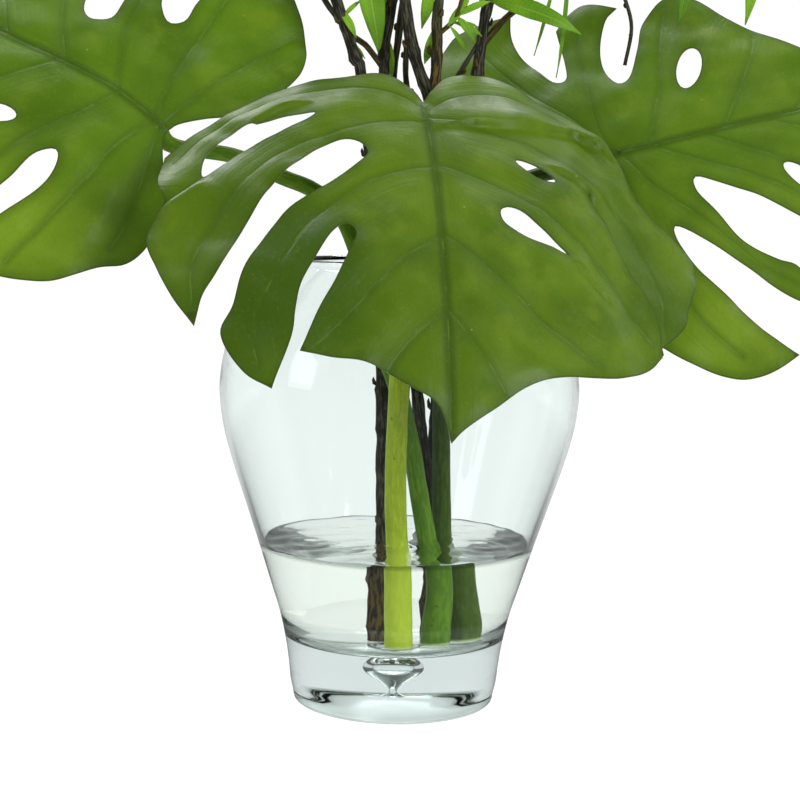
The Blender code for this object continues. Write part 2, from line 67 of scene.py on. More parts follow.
# Half section of the vase, radius and height
FOOT = [(52, 0), (54.4, 0.35), (55.8, 1.3), (56.4, 2.8), (56.8, 5.5)]
OUTSIDE = [
    (56.8, 5.5), (58.3, 12), (59.4, 22), (61.4, 35), (65, 51), (70, 67), (77, 89),
    (84.6, 112), (91.8, 134), (97.3, 154), (99.9, 172), (99.3, 187), (95.5, 204),
    (87, 221), (76, 235), (67.5, 243.5), (65, 246.6), (64.3, 247.8), (62.9, 248.4),
    (61.9, 247.4), (62.6, 244.6),
]
INSIDE = [
    (62.6, 244.6), (73.5, 233), (84.6, 219), (92.7, 203), (96.3, 187), (96.7, 171),
    (94.3, 154.5), (88.9, 135), (81.7, 113), (74.1, 90), (67.4, 68.5), (62.4, 55),
    (55, 44), (48, 38.8), (FLOOR_R, 36.6), (30, FLOOR_Z), (0, FLOOR_Z),
]
BUBBLE = [
    (0, 34.9), (3.9, 34.6), (7.8, 32.9), (10.4, 30.0), (11.3, 26.7), (10.7, 23.8),
    (8.6, 21.0), (5.9, 18.4), (3.8, 16.1), (2.3, 13.9), (1.6, 11.9), (1.9, 10.4),
    (3.5, 9.3), (4.9, 8.6), (4.7, 8.1), (2.6, 7.8), (0, 7.8),
]

# Each large leaf: where its stalk meets it, its heading, its pitch there and at the tip,
# its roll, how much its sides droop, its edge as runs of (along, across) points that meet in
# corners, its holes as such points or as ovals (along, across, half length, half width, turn),
# its midrib and the veins that leave it. A fold is a line, how far the left side slides over
# it, how much the left side rises and the right side sinks, and how far that reaches. A patch
# of painted light and shade is (along, across, width, amount): painted shade, darker, below
# nought, and painted light, yellower, above.
LEAVES = {
    "leaf_front": dict(
        at=(9.9, -20, 332.3), yaw=8.5, pitch=(40, 62), length=230, roll=-8.5, droop=2.6,
        edge=[
            [(-3, 0), (-14, -7), (-23, -20), (-17, -45), (-10, -67), (10, -99),
             (28, -120), (45, -139)],
            [(45, -139), (62, -142), (78, -138)],
            [(78, -138), (102, -147), (121, -142), (139, -134), (156, -123)],
            [(156, -123), (139, -119), (124, -111), (97, -98), (72, -85), (54, -71),
             (37, -52), (35, -40), (43, -34), (54, -41), (74, -63), (86, -76),
             (107, -90), (125, -99), (145, -104), (162, -110), (183, -99), (193, -85)],
            [(193, -85), (164, -76), (148, -74), (133, -71), (116, -63), (101, -55),
             (95, -48), (101, -43), (115, -48), (132, -55), (148, -63), (172, -72)],
            [(172, -72), (174, -57), (177, -37), (188, -18), (194, -7), (202, -2), (215, 1)],
            [(215, 1), (207, 8), (194, 24), (180, 41), (172, 60), (164, 95), (153, 116),
             (142, 126)],
            [(142, 126), (120, 125), (103, 118), (83, 106), (61, 98), (44, 91)],
            [(44, 91), (61, 99.5), (83, 108), (103, 119.5), (120, 127), (140, 127.4)],
            [(140, 127.4), (118, 144), (98, 152), (77, 160), (62, 161), (50, 150),
             (42, 138), (25, 124), (3, 116), (-20, 97), (-25, 76), (-36, 56),
             (-40, 40), (-30, 18), (-14, 6), (-3, 0)],
        ],
        holes=[
            [(16, -60), (19, -78), (27, -98), (38, -110), (50, -118), (64, -119),
             (55, -108), (44, -97), (29, -76)],
            [(73, 35), (70, 39), (70, 44), (72, 48.5), (76, 53), (82, 59), (88, 64.5),
             (92, 69), (94.5, 71), (94, 68), (92, 62), (90, 54), (88, 46), (85, 40.5),
             (82, 36.5), (78, 34.5)],
        ],
        ovals=[(38, 59, 12, 4.6, 60)],
        midrib=[(0, 0), (50, 1), (100, 1), (150, 1), (200, 1), (212, 1)],
        veins=[
            [(4, -1), (-6, -16), (-8, -42), (1, -70), (17, -99), (34, -118), (52, -134)],
            [(15, 0), (19, -24), (29, -48), (42, -71), (60, -92), (88, -110), (118, -124),
             (146, -124)],
            [(50, 0), (56, -18), (66, -36), (82, -54), (101, -70), (136, -87), (165, -94),
             (183, -91)],
            [(98, 0), (112, -17), (133, -35), (153, -50), (170, -66)],
            [(143, 0), (158, -14), (174, -26), (182, -30)],
            [(4, 2), (-10, 18), (-22, 42), (-20, 68), (-8, 90), (8, 107)],
            [(11, 0), (11, 30), (17, 60), (29, 88), (50, 113), (84, 131), (126, 135)],
            [(48, 0), (50, 14), (55, 32), (64, 52), (80, 74), (102, 94), (122, 110),
             (136, 120)],
            [(96, 1), (105, 15), (114, 26), (128, 40), (143, 54), (154, 69), (161, 84)],
            [(142, 1), (160, 14), (176, 24), (185, 29)],
        ],
        folds=[
            ([(44, 91), (61, 98.7), (83, 107), (103, 119), (120, 126.5), (142, 128),
              (166, 131)], 5.5, -1.6, 2.4, 16),
            ([(30, 66), (35, 80), (41, 90), (53, 95)], 0, 2.4, -0.6, 11),
            ([(20, 3), (9, 25), (3, 50), (-3, 69), (-8, 93), (-2, 107), (9, 116)],
             0, 3.0, -1.6, 15),
            ([(97, 73), (104, 79), (112, 86), (122, 95)], 0, 1.6, -0.6, 9),
            ([(54, -114), (41, -103), (27, -95), (19, -88), (10, -73), (7, -59)],
             0, 1.9, -0.5, 10),
            ([(65, -117), (73, -126), (81, -136), (88, -143)], 0, 2.2, -1.6, 9),
        ],
        painted_light_and_shade_patches=[(112, -62, 34, -0.9), (150, -92, 42, -0.9), (60, -110, 40, -0.5),
               (165, 0, 45, -0.35), (90, -20, 30, 0.25), (64, 122, 24, -0.55),
               (104, 133, 22, -0.6), (24, 92, 22, -0.3)],
    ),
    "leaf_left": dict(
        at=(-128.5, -25, 316.9), yaw=-96, pitch=(-34, -2), length=210, roll=-56, droop=1.2,
        edge=[
            [(-2, 0), (-4, 7), (-13, 19), (-23, 29), (-32, 48), (-34, 64), (-31, 76), (-21, 87),
             (-7, 108), (16, 121), (46, 128)],
            [(46, 128), (40, 104), (33, 82), (29, 66), (31, 53), (37, 47), (44, 55),
             (46, 74), (50, 98), (58, 125)],
            [(58, 125), (78, 124), (97, 115)],
            [(97, 115), (92, 92), (89, 72), (93, 61), (100, 67), (108, 84), (118, 104)],
            [(118, 104), (136, 93), (152, 78)],
            [(152, 78), (140, 62), (132, 50), (131, 42), (138, 43), (150, 54), (164, 66)],
            [(164, 66), (184, 44), (200, 20), (206, 8), (216, 0)],
            [(216, 0), (206, -10), (198, -26), (180, -52), (158, -76)],
            [(158, -76), (146, -60), (132, -46), (122, -42), (121, -50), (128, -64),
             (140, -90)],
            [(140, -90), (122, -103), (103, -110)],
            [(103, -110), (97, -88), (93, -68), (86, -46), (80, -35), (72, -32),
             (65, -40), (67, -54), (71, -76), (75, -100), (72, -124)],
            [(72, -124), (58, -132), (44, -130)],
            [(44, -130), (50, -110), (54, -90), (52, -70), (45, -60), (38, -57),
             (33, -65), (35, -78), (35, -92), (28, -112), (16, -131)],
            [(16, -131), (-4, -120), (-25, -102), (-33, -90), (-36, -76), (-33, -55),
             (-24, -32), (-13, -19), (-4, -7), (-2, 0)],
        ],
        holes=[],
        ovals=[(79, 48, 14, 6, 25)],
        midrib=[(0, 0), (34, -3), (64, -1), (105, 2), (150, 2), (212, 0)],
        veins=[
            [(3, 2), (-4, 18), (-11, 38), (-18, 60), (-20, 74)],
            [(8, 0), (13, 24), (13, 50), (15, 74), (17, 96), (18, 113)],
            [(32, -2), (41, 20), (50, 38), (57, 58), (62, 84), (67, 108), (70, 119)],
            [(70, 0), (82, 18), (92, 32), (106, 48), (120, 68), (133, 86)],
            [(110, 2), (126, 18), (146, 32), (166, 44), (176, 46)],
            [(148, 2), (168, 12), (186, 20), (194, 21)],
            [(2, -3), (-2, -30), (-8, -57), (-16, -84), (-20, -98)],
            [(7, -1), (16, -30), (20, -56), (22, -78), (24, -98), (19, -116)],
            [(34, -3), (44, -20), (54, -38), (59, -58), (62, -80), (62, -104), (58, -124)],
            [(66, -1), (80, -16), (92, -32), (102, -50), (110, -72), (116, -92), (119, -99)],
            [(104, 2), (118, -14), (136, -30), (154, -44), (168, -57)],
            [(150, 2), (166, -10), (184, -20), (194, -23)],
        ],
        folds=[],
        painted_light_and_shade_patches=[(22, 96, 42, 0.75), (-2, -42, 16, 0.5), (80, 90, 40, 0.4), (150, 40, 50, 0.3)],
    ),
    "leaf_right": dict(
        at=(120, 50, 310.4), yaw=90, pitch=(-19, 4), length=210, roll=57, droop=1.2,
        grow=1.02,
        edge=[
            [(-2, 0), (-18, 9), (-40, 28), (-62, 48), (-84, 66), (-89, 86), (-77, 106),
             (-56, 121), (-26, 120)],
            [(-26, 120), (-30, 106), (-29, 90), (-22, 73), (-16, 61), (-9, 60),
             (-6, 73), (-4, 97)],
            [(-4, 97), (6, 107), (18, 110), (35, 100)],
            [(35, 100), (26, 94), (17, 76), (14, 59), (18, 46), (26, 48), (37, 67),
             (45, 83), (57, 94), (66, 98)],
            [(66, 98), (83, 89), (101, 66), (127, 40), (150, 24), (172, 9), (192, 0)],
            [(192, 0), (180, -12), (164, -32), (142, -54), (120, -72), (99, -84)],
            [(99, -84), (86, -70), (69, -52), (50, -37), (39, -30), (37, -39), (44, -56),
             (52, -76), (66, -91), (76, -100), (84, -127)],
            [(84, -127), (69, -118), (57, -104), (40, -80), (25, -61), (18, -56),
             (17, -67), (21, -84), (30, -104), (42, -126), (58, -148)],
            [(58, -148), (44, -153), (32, -154), (20, -151), (5, -140), (-12, -122),
             (-26, -94), (-32, -62), (-26, -34), (-14, -12), (-2, 0)],
        ],
        holes=[],
        ovals=[(60, 42, 15, 7, 62), (96, -45, 12, 5.5, -60)],
        midrib=[(0, 0), (24, -2), (53, -3), (83, -3), (111, -3), (150, -2), (188, 0)],
        veins=[
            [(-2, 2), (-24, 20), (-46, 42), (-66, 62), (-76, 82)],
            [(-1, 2), (-12, 27), (-27, 50), (-40, 75), (-50, 98), (-50, 112)],
            [(1, 0), (-2, 17), (-1, 34), (1, 54), (4, 80), (8, 104)],
            [(22, -2), (31, 18), (40, 36), (47, 58), (56, 80), (61, 91)],
            [(66, -3), (78, 14), (90, 30), (100, 46), (104, 56)],
            [(108, -3), (124, 10), (136, 20), (143, 25)],
            [(0, -1), (-12, -20), (-20, -45), (-22, -75), (-14, -102)],
            [(1, -1), (3, -32), (4, -60), (6, -88), (14, -116), (28, -140)],
            [(4, -1), (16, -28), (31, -50), (42, -68), (54, -90), (67, -104), (75, -112)],
            [(23, -2), (40, -16), (60, -30), (80, -46), (98, -64), (107, -73)],
            [(52, -3), (70, -17), (86, -29), (112, -50), (126, -60)],
            [(88, -3), (108, -15), (130, -30), (145, -41)],
            [(124, -3), (142, -12), (158, -21)],
        ],
        folds=[],
        painted_light_and_shade_patches=[(26, -122, 42, 0.85), (52, -62, 26, 0.6), (110, -52, 34, 0.5), (90, 40, 40, 0.3)],
    ),
}

# Stalks of the large leaves: the leaf, the radius at foot and top, how far the end leans
# along the leaf's midrib, and the points from the glass floor up
STALKS = {
    "stalk_front": ("leaf_front", (6.5, 4.6), 0.05,
                    [(2, -22), (1, -22, 84), (-1, -22, 128), (0, -22, 186), (3, -17, 246),
                     (8, -9, 297)]),
    "stalk_left": ("leaf_left", (5.6, 4.0), 0.85,
                   [(18, -7), (19, -8, 80), (12, -5, 120), (4, -3, 159), (-12, -4, 209),
                    (-24, -4, 250), (-36, -6, 275), (-50, -10, 286), (-68, -15, 293),
                    (-92, -19, 303)]),
    "stalk_right": ("leaf_right", (5.6, 4.0), 0.8,
                    [(29.5, 6), (27, 8, 77), (25, 9, 124), (24, 11, 181), (26, 12, 212),
                     (31, 15, 240), (41, 22, 268), (56, 29, 287), (80, 37, 298)]),
}

# Woody stems. A twig is (the stem it leaves, the height there, its radius, how many leaves
# it carries, its later points), where stem 0 is the main one and 1 the first twig.
# A leaf given one by one is (its foot, its tip, its width), its foot lying on a stem.
SPRAYS = {
    "spray_left": dict(
        radius=(4.4, 1.9), leaves=8,
        path=[(-7, 5), (-7, 5, 78), (-8, 7, 112), (-9, 9, 160), (-14, 12, 260),
              (-25, 15, 349), (-28, 15, 358), (-36, 14, 381), (-42, 14, 398), (-62, 10, 460),
              (-94, 4, 560), (-120, -4, 650)],
        twigs=[(0, 396, 1.6, 4, [(-35, 20, 416), (-30, 23, 432), (-34, 26, 500),
                                 (-48, 30, 590)]),
               (0, 500, 1.7, 5, [(-98, -20, 524), (-134, -48, 572)])],
        lances=[((-30, 23, 430), (-15, 23, 362), 15), ((-37, 14, 385), (-28, 11, 370), 4.5)],
    ),
    "spray_back": dict(
        radius=(4.0, 1.8), leaves=8,
        path=[(16, 20), (17, 20, 80), (16, 19, 123), (10, 19, 172), (0, 22, 250),
              (-12, 25, 345), (-10, 26, 384), (-6, 29, 410), (-6, 40, 480), (2, 56, 600),
              (-4, 70, 730)],
        twigs=[(0, 354, 1.8, 5, [(-23, 25, 367), (-32, 27, 374), (-52, 40, 402),
                                 (-80, 62, 470), (-96, 84, 540)]),
               (0, 290, 2.2, 6, [(-8, 31, 335), (-5, 34, 372), (0, 38, 408), (18, 56, 480),
                                 (44, 78, 580), (58, 90, 650)])],
        lances=[((-8, 27, 408), (-14, 32, 378), 8), ((-11, 27, 372), (-8, 30, 349), 4.5)],
    ),
    "spray_middle": dict(
        radius=(4.6, 1.9), leaves=8,
        path=[(14, 30), (15, 31, 80), (19, 30, 111), (22, 28, 168), (20, 22, 255),
              (14, 13, 325), (13, 12, 338), (6, 11, 356), (1, 12, 376), (-3, 11, 400),
              (-14, -6, 470), (-20, -22, 580), (-12, -30, 690)],
        twigs=[(0, 334, 3.2, 8, [(16, 12, 347), (17, 12, 368), (17, 11, 392), (26, -8, 470),
                                 (38, -26, 590), (32, -34, 700)]),
               (0, 290, 2.0, 0, [(7, 20, 322), (0, 22, 348), (0, 23, 374), (0, 21, 404),
                                 (-3, 14, 430)]),
               (1, 372, 1.4, 4, [(27, 13, 383), (34, 8, 404), (56, -6, 440), (84, -24, 486)])],
        lances=[((17, 9, 414), (8, 18, 376), 8), ((17, 13, 378), (10, 20, 357), 6),
                ((22, 12, 377), (34, 18, 392), 4.5), ((27, 13, 383), (38, 15, 369), 4.5)],
    ),
    "spray_right": dict(
        radius=(4.4, 1.9), leaves=8,
        path=[(-2, 32), (-1, 33, 80), (0, 34, 140), (6, 34, 200), (20, 32, 260),
              (34, 32, 325), (40, 33, 351), (42, 33, 370), (44, 33, 386), (48, 33, 402),
              (66, 28, 470), (102, 14, 560), (128, 0, 650)],
        twigs=[(0, 368, 2.0, 5, [(53, 33, 382), (62, 33, 390), (76, 34, 402), (106, 38, 432),
                                 (148, 44, 456), (198, 48, 460)]),
               (0, 258, 2.3, 0, [(17, 26, 300), (21, 27, 330), (26, 28.5, 346),
                                 (33, 31, 358), (41, 33, 372)]),
               (1, 424, 1.1, 0, [(114, 46, 420), (124, 57, 402), (130, 61, 384),
                                 (127, 62, 362)]),
               (0, 500, 1.7, 5, [(96, 42, 540), (112, 60, 620)])],
        lances=[((45, 32, 394), (97, 20, 376), 11), ((83, 35, 408), (72, 30, 364), 2.2),
                ((90, 35, 415), (85, 30, 352), 2.6), ((160, 45, 458), (157, 58, 384), 10),
                ((196, 48, 461), (196, 58, 386), 11)],
    ),
}

# Tiny leaves that only the picture has: the spray, the foot, the tip and the width
TINY = [
    ("spray_middle", (27, 13, 383), (46, 16, 392), 4.0),
    ("spray_middle", (26, 13, 382), (37, 15, 400), 4.0),
    ("spray_middle", (25, 13, 380), (42, 19, 373), 3.4),
    ("spray_middle", (24, 12.5, 379), (40, 21, 378), 2.6),
    ("spray_middle", (23, 12, 378), (33, 20, 364), 2.8),
    ("spray_middle", (17, 12, 384), (11, 17, 402), 3.6),
    ("spray_left", (-36, 14, 381), (-26, 18, 391), 2.6),
    ("spray_left", (-32, 14, 369), (-23, 18, 359), 1.8),
    ("spray_back", (-8, 29, 400), (-1, 22, 388), 2.6),
    ("spray_right", (44, 33, 388), (36, 30, 404), 3.2),
]

# Large blades: piece, node, name of the skin, its dark, middle and yellow green, how far its
# pattern is moved, and the seed of the blade's waves
BLADES = [
    ("front_blade", "leaf_front", "front_leaf", (0.044, 0.098, 0.003), (0.098, 0.182, 0.004),
     (0.155, 0.238, 0.006), 0.0, 1.0),
    ("left_blade", "leaf_left", "left_leaf", (0.050, 0.112, 0.003), (0.100, 0.205, 0.004),
     (0.160, 0.262, 0.006), 300.0, 4.0),
    ("right_blade", "leaf_right", "right_leaf", (0.048, 0.108, 0.004), (0.094, 0.186, 0.005),
     (0.150, 0.240, 0.008), 700.0, 7.0),
]

# Green stalks: piece, node, slot, name of the skin, its colour, lighter and darker fibres, how
# pale its foot is, and the seed
GREENS = [
    ("front_stalk", "stalk_front", "stalk_light", "light_stalk", (0.300, 0.385, 0.016),
     (0.400, 0.480, 0.034), (0.190, 0.270, 0.008), 0.40, 2.0),
    ("left_stalk", "stalk_left", "stalk_mid", "mid_stalk", (0.082, 0.182, 0.008),
     (0.145, 0.262, 0.014), (0.038, 0.096, 0.005), 0.05, 5.0),
    ("right_stalk", "stalk_right", "stalk_dark", "dark_stalk", (0.038, 0.074, 0.004),
     (0.075, 0.130, 0.008), (0.018, 0.040, 0.003), 0.16, 8.0),
]


class Wire:
    """A number or colour on its way to a surface. Arithmetic on it adds Math nodes."""

    def __init__(self, recipe, socket):
        self.recipe, self.socket = recipe, socket

    def math(self, operation, first, second):
        return self.recipe.node("ShaderNodeMath", {"operation": operation},
                                {0: first, 1: second})

    def __add__(self, other):
        return self.math("ADD", self, other)

    def __radd__(self, other):
        return self.math("ADD", other, self)

    def __sub__(self, other):
        return self.math("SUBTRACT", self, other)

    def __rsub__(self, other):
        return self.math("SUBTRACT", other, self)

    def __mul__(self, other):
        return self.math("MULTIPLY", self, other)

    def __rmul__(self, other):
        return self.math("MULTIPLY", other, self)


class Recipe:
    """Shader nodes being written. The surface's constants go straight to its own sockets."""

    def __init__(self, owner, surface, constants):
        owner.use_nodes = True
        self.owner, self.tree = owner, owner.node_tree
        self.surface = self.tree.nodes[surface]
        for socket, value in constants.items():
            self.surface.inputs[socket].default_value = value

    def node(self, kind, settings=None, inputs=None, out=0):
        """Any node: its settings first, then the values or wires of its sockets."""
        made = self.tree.nodes.new(kind)
        for name, value in (settings or {}).items():
            setattr(made, name, value)
        for socket, value in (inputs or {}).items():
            if isinstance(value, Wire):
                self.tree.links.new(value.socket, made.inputs[socket])
            else:
                made.inputs[socket].default_value = value
        return Wire(self, made.outputs[out])

    def stored(self, name, out="Fac"):
        """A value that the mesh keeps at each point."""
        return self.node("ShaderNodeAttribute", {"attribute_name": name}, out=out)

    def place(self, kind="Object"):
        return self.node("ShaderNodeTexCoord", out=kind)

    def ray(self, what):
        """What the light path says of the ray that looks here."""
        return self.node("ShaderNodeLightPath", out=what)

    def cloud(self, at, scale, detail=3.0, rough=0.5):
        return self.node("ShaderNodeTexNoise", {},
                         {"Vector": at, "Scale": scale, "Detail": detail, "Roughness": rough})

    def cells(self, at, scale, feature, uneven=1.0):
        return self.node("ShaderNodeTexVoronoi", {"feature": feature},
                         {"Vector": at, "Scale": scale, "Randomness": uneven})

    def rise(self, value, start, end):
        """0 up to start, then smoothly to 1 at end."""
        return self.node("ShaderNodeMapRange", {"interpolation_type": "SMOOTHSTEP"},
                         {"Value": value, "From Min": start, "From Max": end})

    def ramp(self, value, start, end, low, high):
        """low up to start, then in a straight line to high at end."""
        return self.node("ShaderNodeMapRange", {}, {"Value": value, "From Min": start,
                                                    "From Max": end, "To Min": low,
                                                    "To Max": high})

    def blend(self, first, second, share):
        """From the first colour to the second. A colour is a wire or three numbers."""
        ends = [c if isinstance(c, Wire) else (*c, 1.0) for c in (first, second)]
        return self.node("ShaderNodeMix", {"data_type": "RGBA"},
                         {0: share, 6: ends[0], 7: ends[1]}, out=2)

    def feed(self, socket, wire):
        self.tree.links.new(wire.socket, self.surface.inputs[socket])

    def relief(self, height, depth, strength=1.0):
        """Bump of that depth in metres, on the surface's own normal."""
        self.feed("Normal", self.node("ShaderNodeBump", {},
                                      {"Strength": strength, "Distance": depth,
                                       "Height": height}))


def finish(name, constants):
    return Recipe(bpy.data.materials.new(name), "Principled BSDF", constants)


def blade_finish(name, deep, body, sunny, shift):
    """Waxy leaf skin: painted shade along the vein and midrib grooves, a painted sheen as pale lines
    on the veins, yellower between the veins, patches of painted light and shade, and a thin dark
    edge.
    """
    r = finish(name, {"IOR": 1.38, "Coat Roughness": 0.2, "Coat IOR": 1.4})
    flat = r.node("ShaderNodeVectorMath", {"operation": "ADD"},
                  {0: r.stored("flat", "Vector"), 1: (shift, shift * 0.7, 0.0)})
    vein, rib, edge = r.stored("to_vein"), r.stored("to_rib"), r.stored("to_edge")
    under, painted_light_and_shade = r.stored("under"), r.stored("painted_light_and_shade")
    beside_veins = r.node("ShaderNodeCombineXYZ", {},
                          {0: vein * 0.42, 1: r.cloud(flat, 0.012, 1.0) * 7.0})
    streak = r.cloud(beside_veins, 1.0, 3.0, 0.6)
    broad = r.cloud(flat, 0.021, 2.0)
    patch = r.cloud(flat, 0.055, 3.0)
    grain = r.cloud(flat, 0.42, 4.0, 0.6)
    net = r.cells(flat, 0.27, "DISTANCE_TO_EDGE", 0.9)
    cell = r.cells(flat, 0.075, "F1")

    pale = tuple(1.45 * v + 0.012 for v in body)
    # A brighter yellow green, used only for the painted light in the patches.
    painted_light_green = tuple(1.35 * v + 0.008 for v in sunny)
    between = r.rise(vein, 1.5, 17.0)
    specks = (1 - r.rise(cell, 0.025, 0.06)) * r.rise(patch, 0.5, 0.6)
    # Pale thin lines on the veins in patches: a painted sheen of the vein ridges.
    painted_vein_sheen = (1 - r.rise(vein, 0.1, 0.6)) * r.rise(patch, 0.5, 0.62)
    colour = r.blend(deep, body, 0.30 + 0.70 * r.rise(broad, 0.26, 0.66))
    for other, share in (
            (sunny, between * r.rise(patch, 0.40, 0.70) * 0.50),
            # Painted shade where the patches go below nought, painted light where they go above.
            (deep, r.rise(0 - painted_light_and_shade, 0.0, 1.0)),
            (painted_light_green, r.rise(painted_light_and_shade, 0.0, 1.2) * 0.8),
            # Painted shade in the vein grooves and, darker still, in the midrib groove.
            (deep, (1 - r.rise(vein, 0.5, 4.5)) * 0.40),
            (tuple(0.6 * v for v in deep), (1 - r.rise(rib, 1.0, 4.5)) * 0.45),
            # Painted sheen on the veins.
            (pale, painted_vein_sheen * 0.35),
            (pale, (1 - r.rise(grain, 0.28, 0.45)) * 0.22),
            (deep, (1 - r.rise(net, 0.0, 0.10)) * 0.10),
            ((0.36, 0.46, 0.12), specks * 0.55),
            (deep, (1 - r.rise(edge, 0.5, 7.0)) * 0.45),
            ((0.034, 0.050, 0.006), (1 - r.rise(edge, 0.2, 1.2)) * 0.6)):
        colour = r.blend(colour, other, share)
    below = r.blend((0.135, 0.215, 0.050), (0.30, 0.38, 0.12), 1 - r.rise(vein, 0.6, 1.7))
    r.feed("Base Color", r.blend(colour, below, under))
    r.feed("Roughness", 0.32 + 0.12 * r.rise(patch, 0.3, 0.7) + 0.16 * under
           + 0.05 * (1 - r.rise(net, 0.0, 0.10)))
    r.feed("Coat Weight", 0.16 * (1 - under))
    r.relief(r.rise(vein, 0.15, 1.4) * 0.5 + r.rise(net, 0.0, 0.2) * 0.06 + grain * 0.12
             + patch * 0.7 + streak * 0.8, 0.0006, 0.5)
    return r.owner


def stalk_finish(name, body, light, dark, foot):
    """A smooth green stalk with long fibres, fading pale at its cut foot."""
    r = finish(name, {"IOR": 1.4, "Specular IOR Level": 0.22})
    around, along = r.stored("around", "Vector"), r.stored("along")
    long = r.cloud(around, 3.2, 3.0)
    fibre = r.cloud(around, 11.0, 2.0)
    dots = r.cells(r.place(), 90.0, "F1")
    colour = r.blend(body, light, r.rise(long, 0.42, 0.66) * 0.8)
    for other, share in (
            (dark, (1 - r.rise(fibre, 0.30, 0.48)) * 0.5),
            (tuple(0.3 * v for v in dark), (1 - r.rise(dots, 0.05, 0.10)) * 0.5),
            (tuple(1.5 * v + 0.02 for v in light), (1 - r.rise(along, 40, 70)) * foot),
            ((0.50, 0.58, 0.24), (1 - r.rise(along, 0.8, 2.2)) * 0.8)):
        colour = r.blend(colour, other, share)
    r.feed("Base Color", colour)
    r.feed("Roughness", 0.34 + 0.18 * fibre)
    r.relief(fibre * 0.7 + long * 0.3, 0.0004, 0.5)
    return r.owner


def bark_finish():
    """Dark thin bark with grey streaks and cracks, browner in the water, greener when young."""
    r = finish("bark", {"IOR": 1.4, "Specular IOR Level": 0.12})
    around, young = r.stored("around", "Vector"), r.stored("young")
    streak = r.cloud(around, 3.4, 5.0, 0.65)
    crack = r.cloud(around, 9.0, 4.0, 0.7)
    soaked = 1 - r.rise(r.stored("along"), 30.0, 56.0)
    colour = r.blend((0.017, 0.017, 0.011), (0.110, 0.108, 0.078), r.rise(streak, 0.45, 0.66))
    colour = r.blend(colour, (0.036, 0.027, 0.016), r.rise(crack, 0.50, 0.68) * 0.6)
    colour = r.blend(colour, (0.150, 0.088, 0.022), soaked * r.rise(streak, 0.46, 0.56) * 0.85)
    colour = r.blend(colour, (0.075, 0.110, 0.028), young * 0.75)
    r.feed("Base Color", colour)
    r.feed("Roughness", 0.50 + 0.25 * streak)
    r.relief(streak * 0.5 + crack * 0.5, 0.0016, 0.8)
    return r.owner


def small_leaf_finish():
    """Thin bright leaves with a pale midrib and fine side veins."""
    r = finish("small_leaf", {"IOR": 1.42, "Coat Weight": 0.08, "Coat Roughness": 0.3})
    across, along = r.stored("across"), r.stored("along")
    patch = r.cloud(r.place(), 26.0, 2.0)
    side = r.node("ShaderNodeMath", {"operation": "SINE"}, {0: along * 2.4 - across * 5.0})
    colour = r.blend((0.100, 0.250, 0.006), (0.195, 0.420, 0.010), r.rise(patch, 0.34, 0.64))
    colour = r.blend(colour, (0.32, 0.50, 0.08), (1 - r.rise(across, 0.02, 0.09)) * 0.45)
    colour = r.blend(colour, (0.12, 0.30, 0.01), r.rise(side, 0.5, 1.0) * 0.14)
    r.feed("Base Color", colour)
    r.feed("Roughness", 0.38 + 0.14 * patch)
    r.relief(r.rise(across, 0.02, 0.14) * 0.7 + side * 0.15, 0.0005, 0.6)
    return r.owner


def clear_finish(name, colour, ior, tint, density, ground=0.0, gloss=0.5):
    """Glass or water, with painted shade and roughness where the mesh says so: light passes it to
    the stems inside.
    """
    r = finish(name, {"Base Color": (*colour, 1.0), "Roughness": 0.0, "IOR": ior,
                      "Transmission Weight": 1.0, "Specular IOR Level": gloss})
    # The dark ring is painted shade: the dark line at the back of the glass foot and along the
    # water's edge.
    r.feed("Base Color", r.blend(colour, (0.03, 0.05, 0.04), r.stored("painted_dark_ring")))
    if ground:
        r.feed("Roughness", ground * r.stored("foot"))
    through = r.node("ShaderNodeBsdfTransparent", {}, {"Color": (*colour, 1.0)})
    both = r.node("ShaderNodeMixShader", {}, {0: r.ray("Is Shadow Ray"),
                                              1: Wire(r, r.surface.outputs[0]), 2: through})
    body = r.node("ShaderNodeVolumeAbsorption", {}, {"Color": (*tint, 1.0), "Density": density})
    out = r.tree.nodes["Material Output"]
    r.tree.links.new(both.socket, out.inputs["Surface"])
    r.tree.links.new(body.socket, out.inputs["Volume"])
    return r.owner


def piece(name, node, points, faces, materials, stored=None, which=None, sharp=None):
    """One closed piece of the picture that stands for a CAD node, from points in millimetres."""
    mesh = bpy.data.meshes.new(name)
    mesh.from_pydata((np.asarray(points, float) * MM).tolist(), [], faces)
    for key, values in (stored or {}).items():
        values = np.asarray(values, np.float32)
        kind, field = ("FLOAT_VECTOR", "vector") if values.ndim == 2 else ("FLOAT", "value")
        mesh.attributes.new(key, kind, "POINT").data.foreach_set(field, values.ravel())
    for material in materials:
        mesh.materials.append(material)
    mesh.polygons.foreach_set("use_smooth", [True] * len(mesh.polygons))
    if which is not None:
        mesh.polygons.foreach_set("material_index", which)
    if sharp:
        wanted = {tuple(sorted(e)) for e in sharp}
        for edge in mesh.edges:
            if tuple(sorted(edge.vertices)) in wanted:
                edge.use_edge_sharp = True
    mesh.update()
    obj = bpy.data.objects.new(name, mesh)
    bpy.context.scene.collection.objects.link(obj)
    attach(obj, "root")
    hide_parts(node)
    return obj


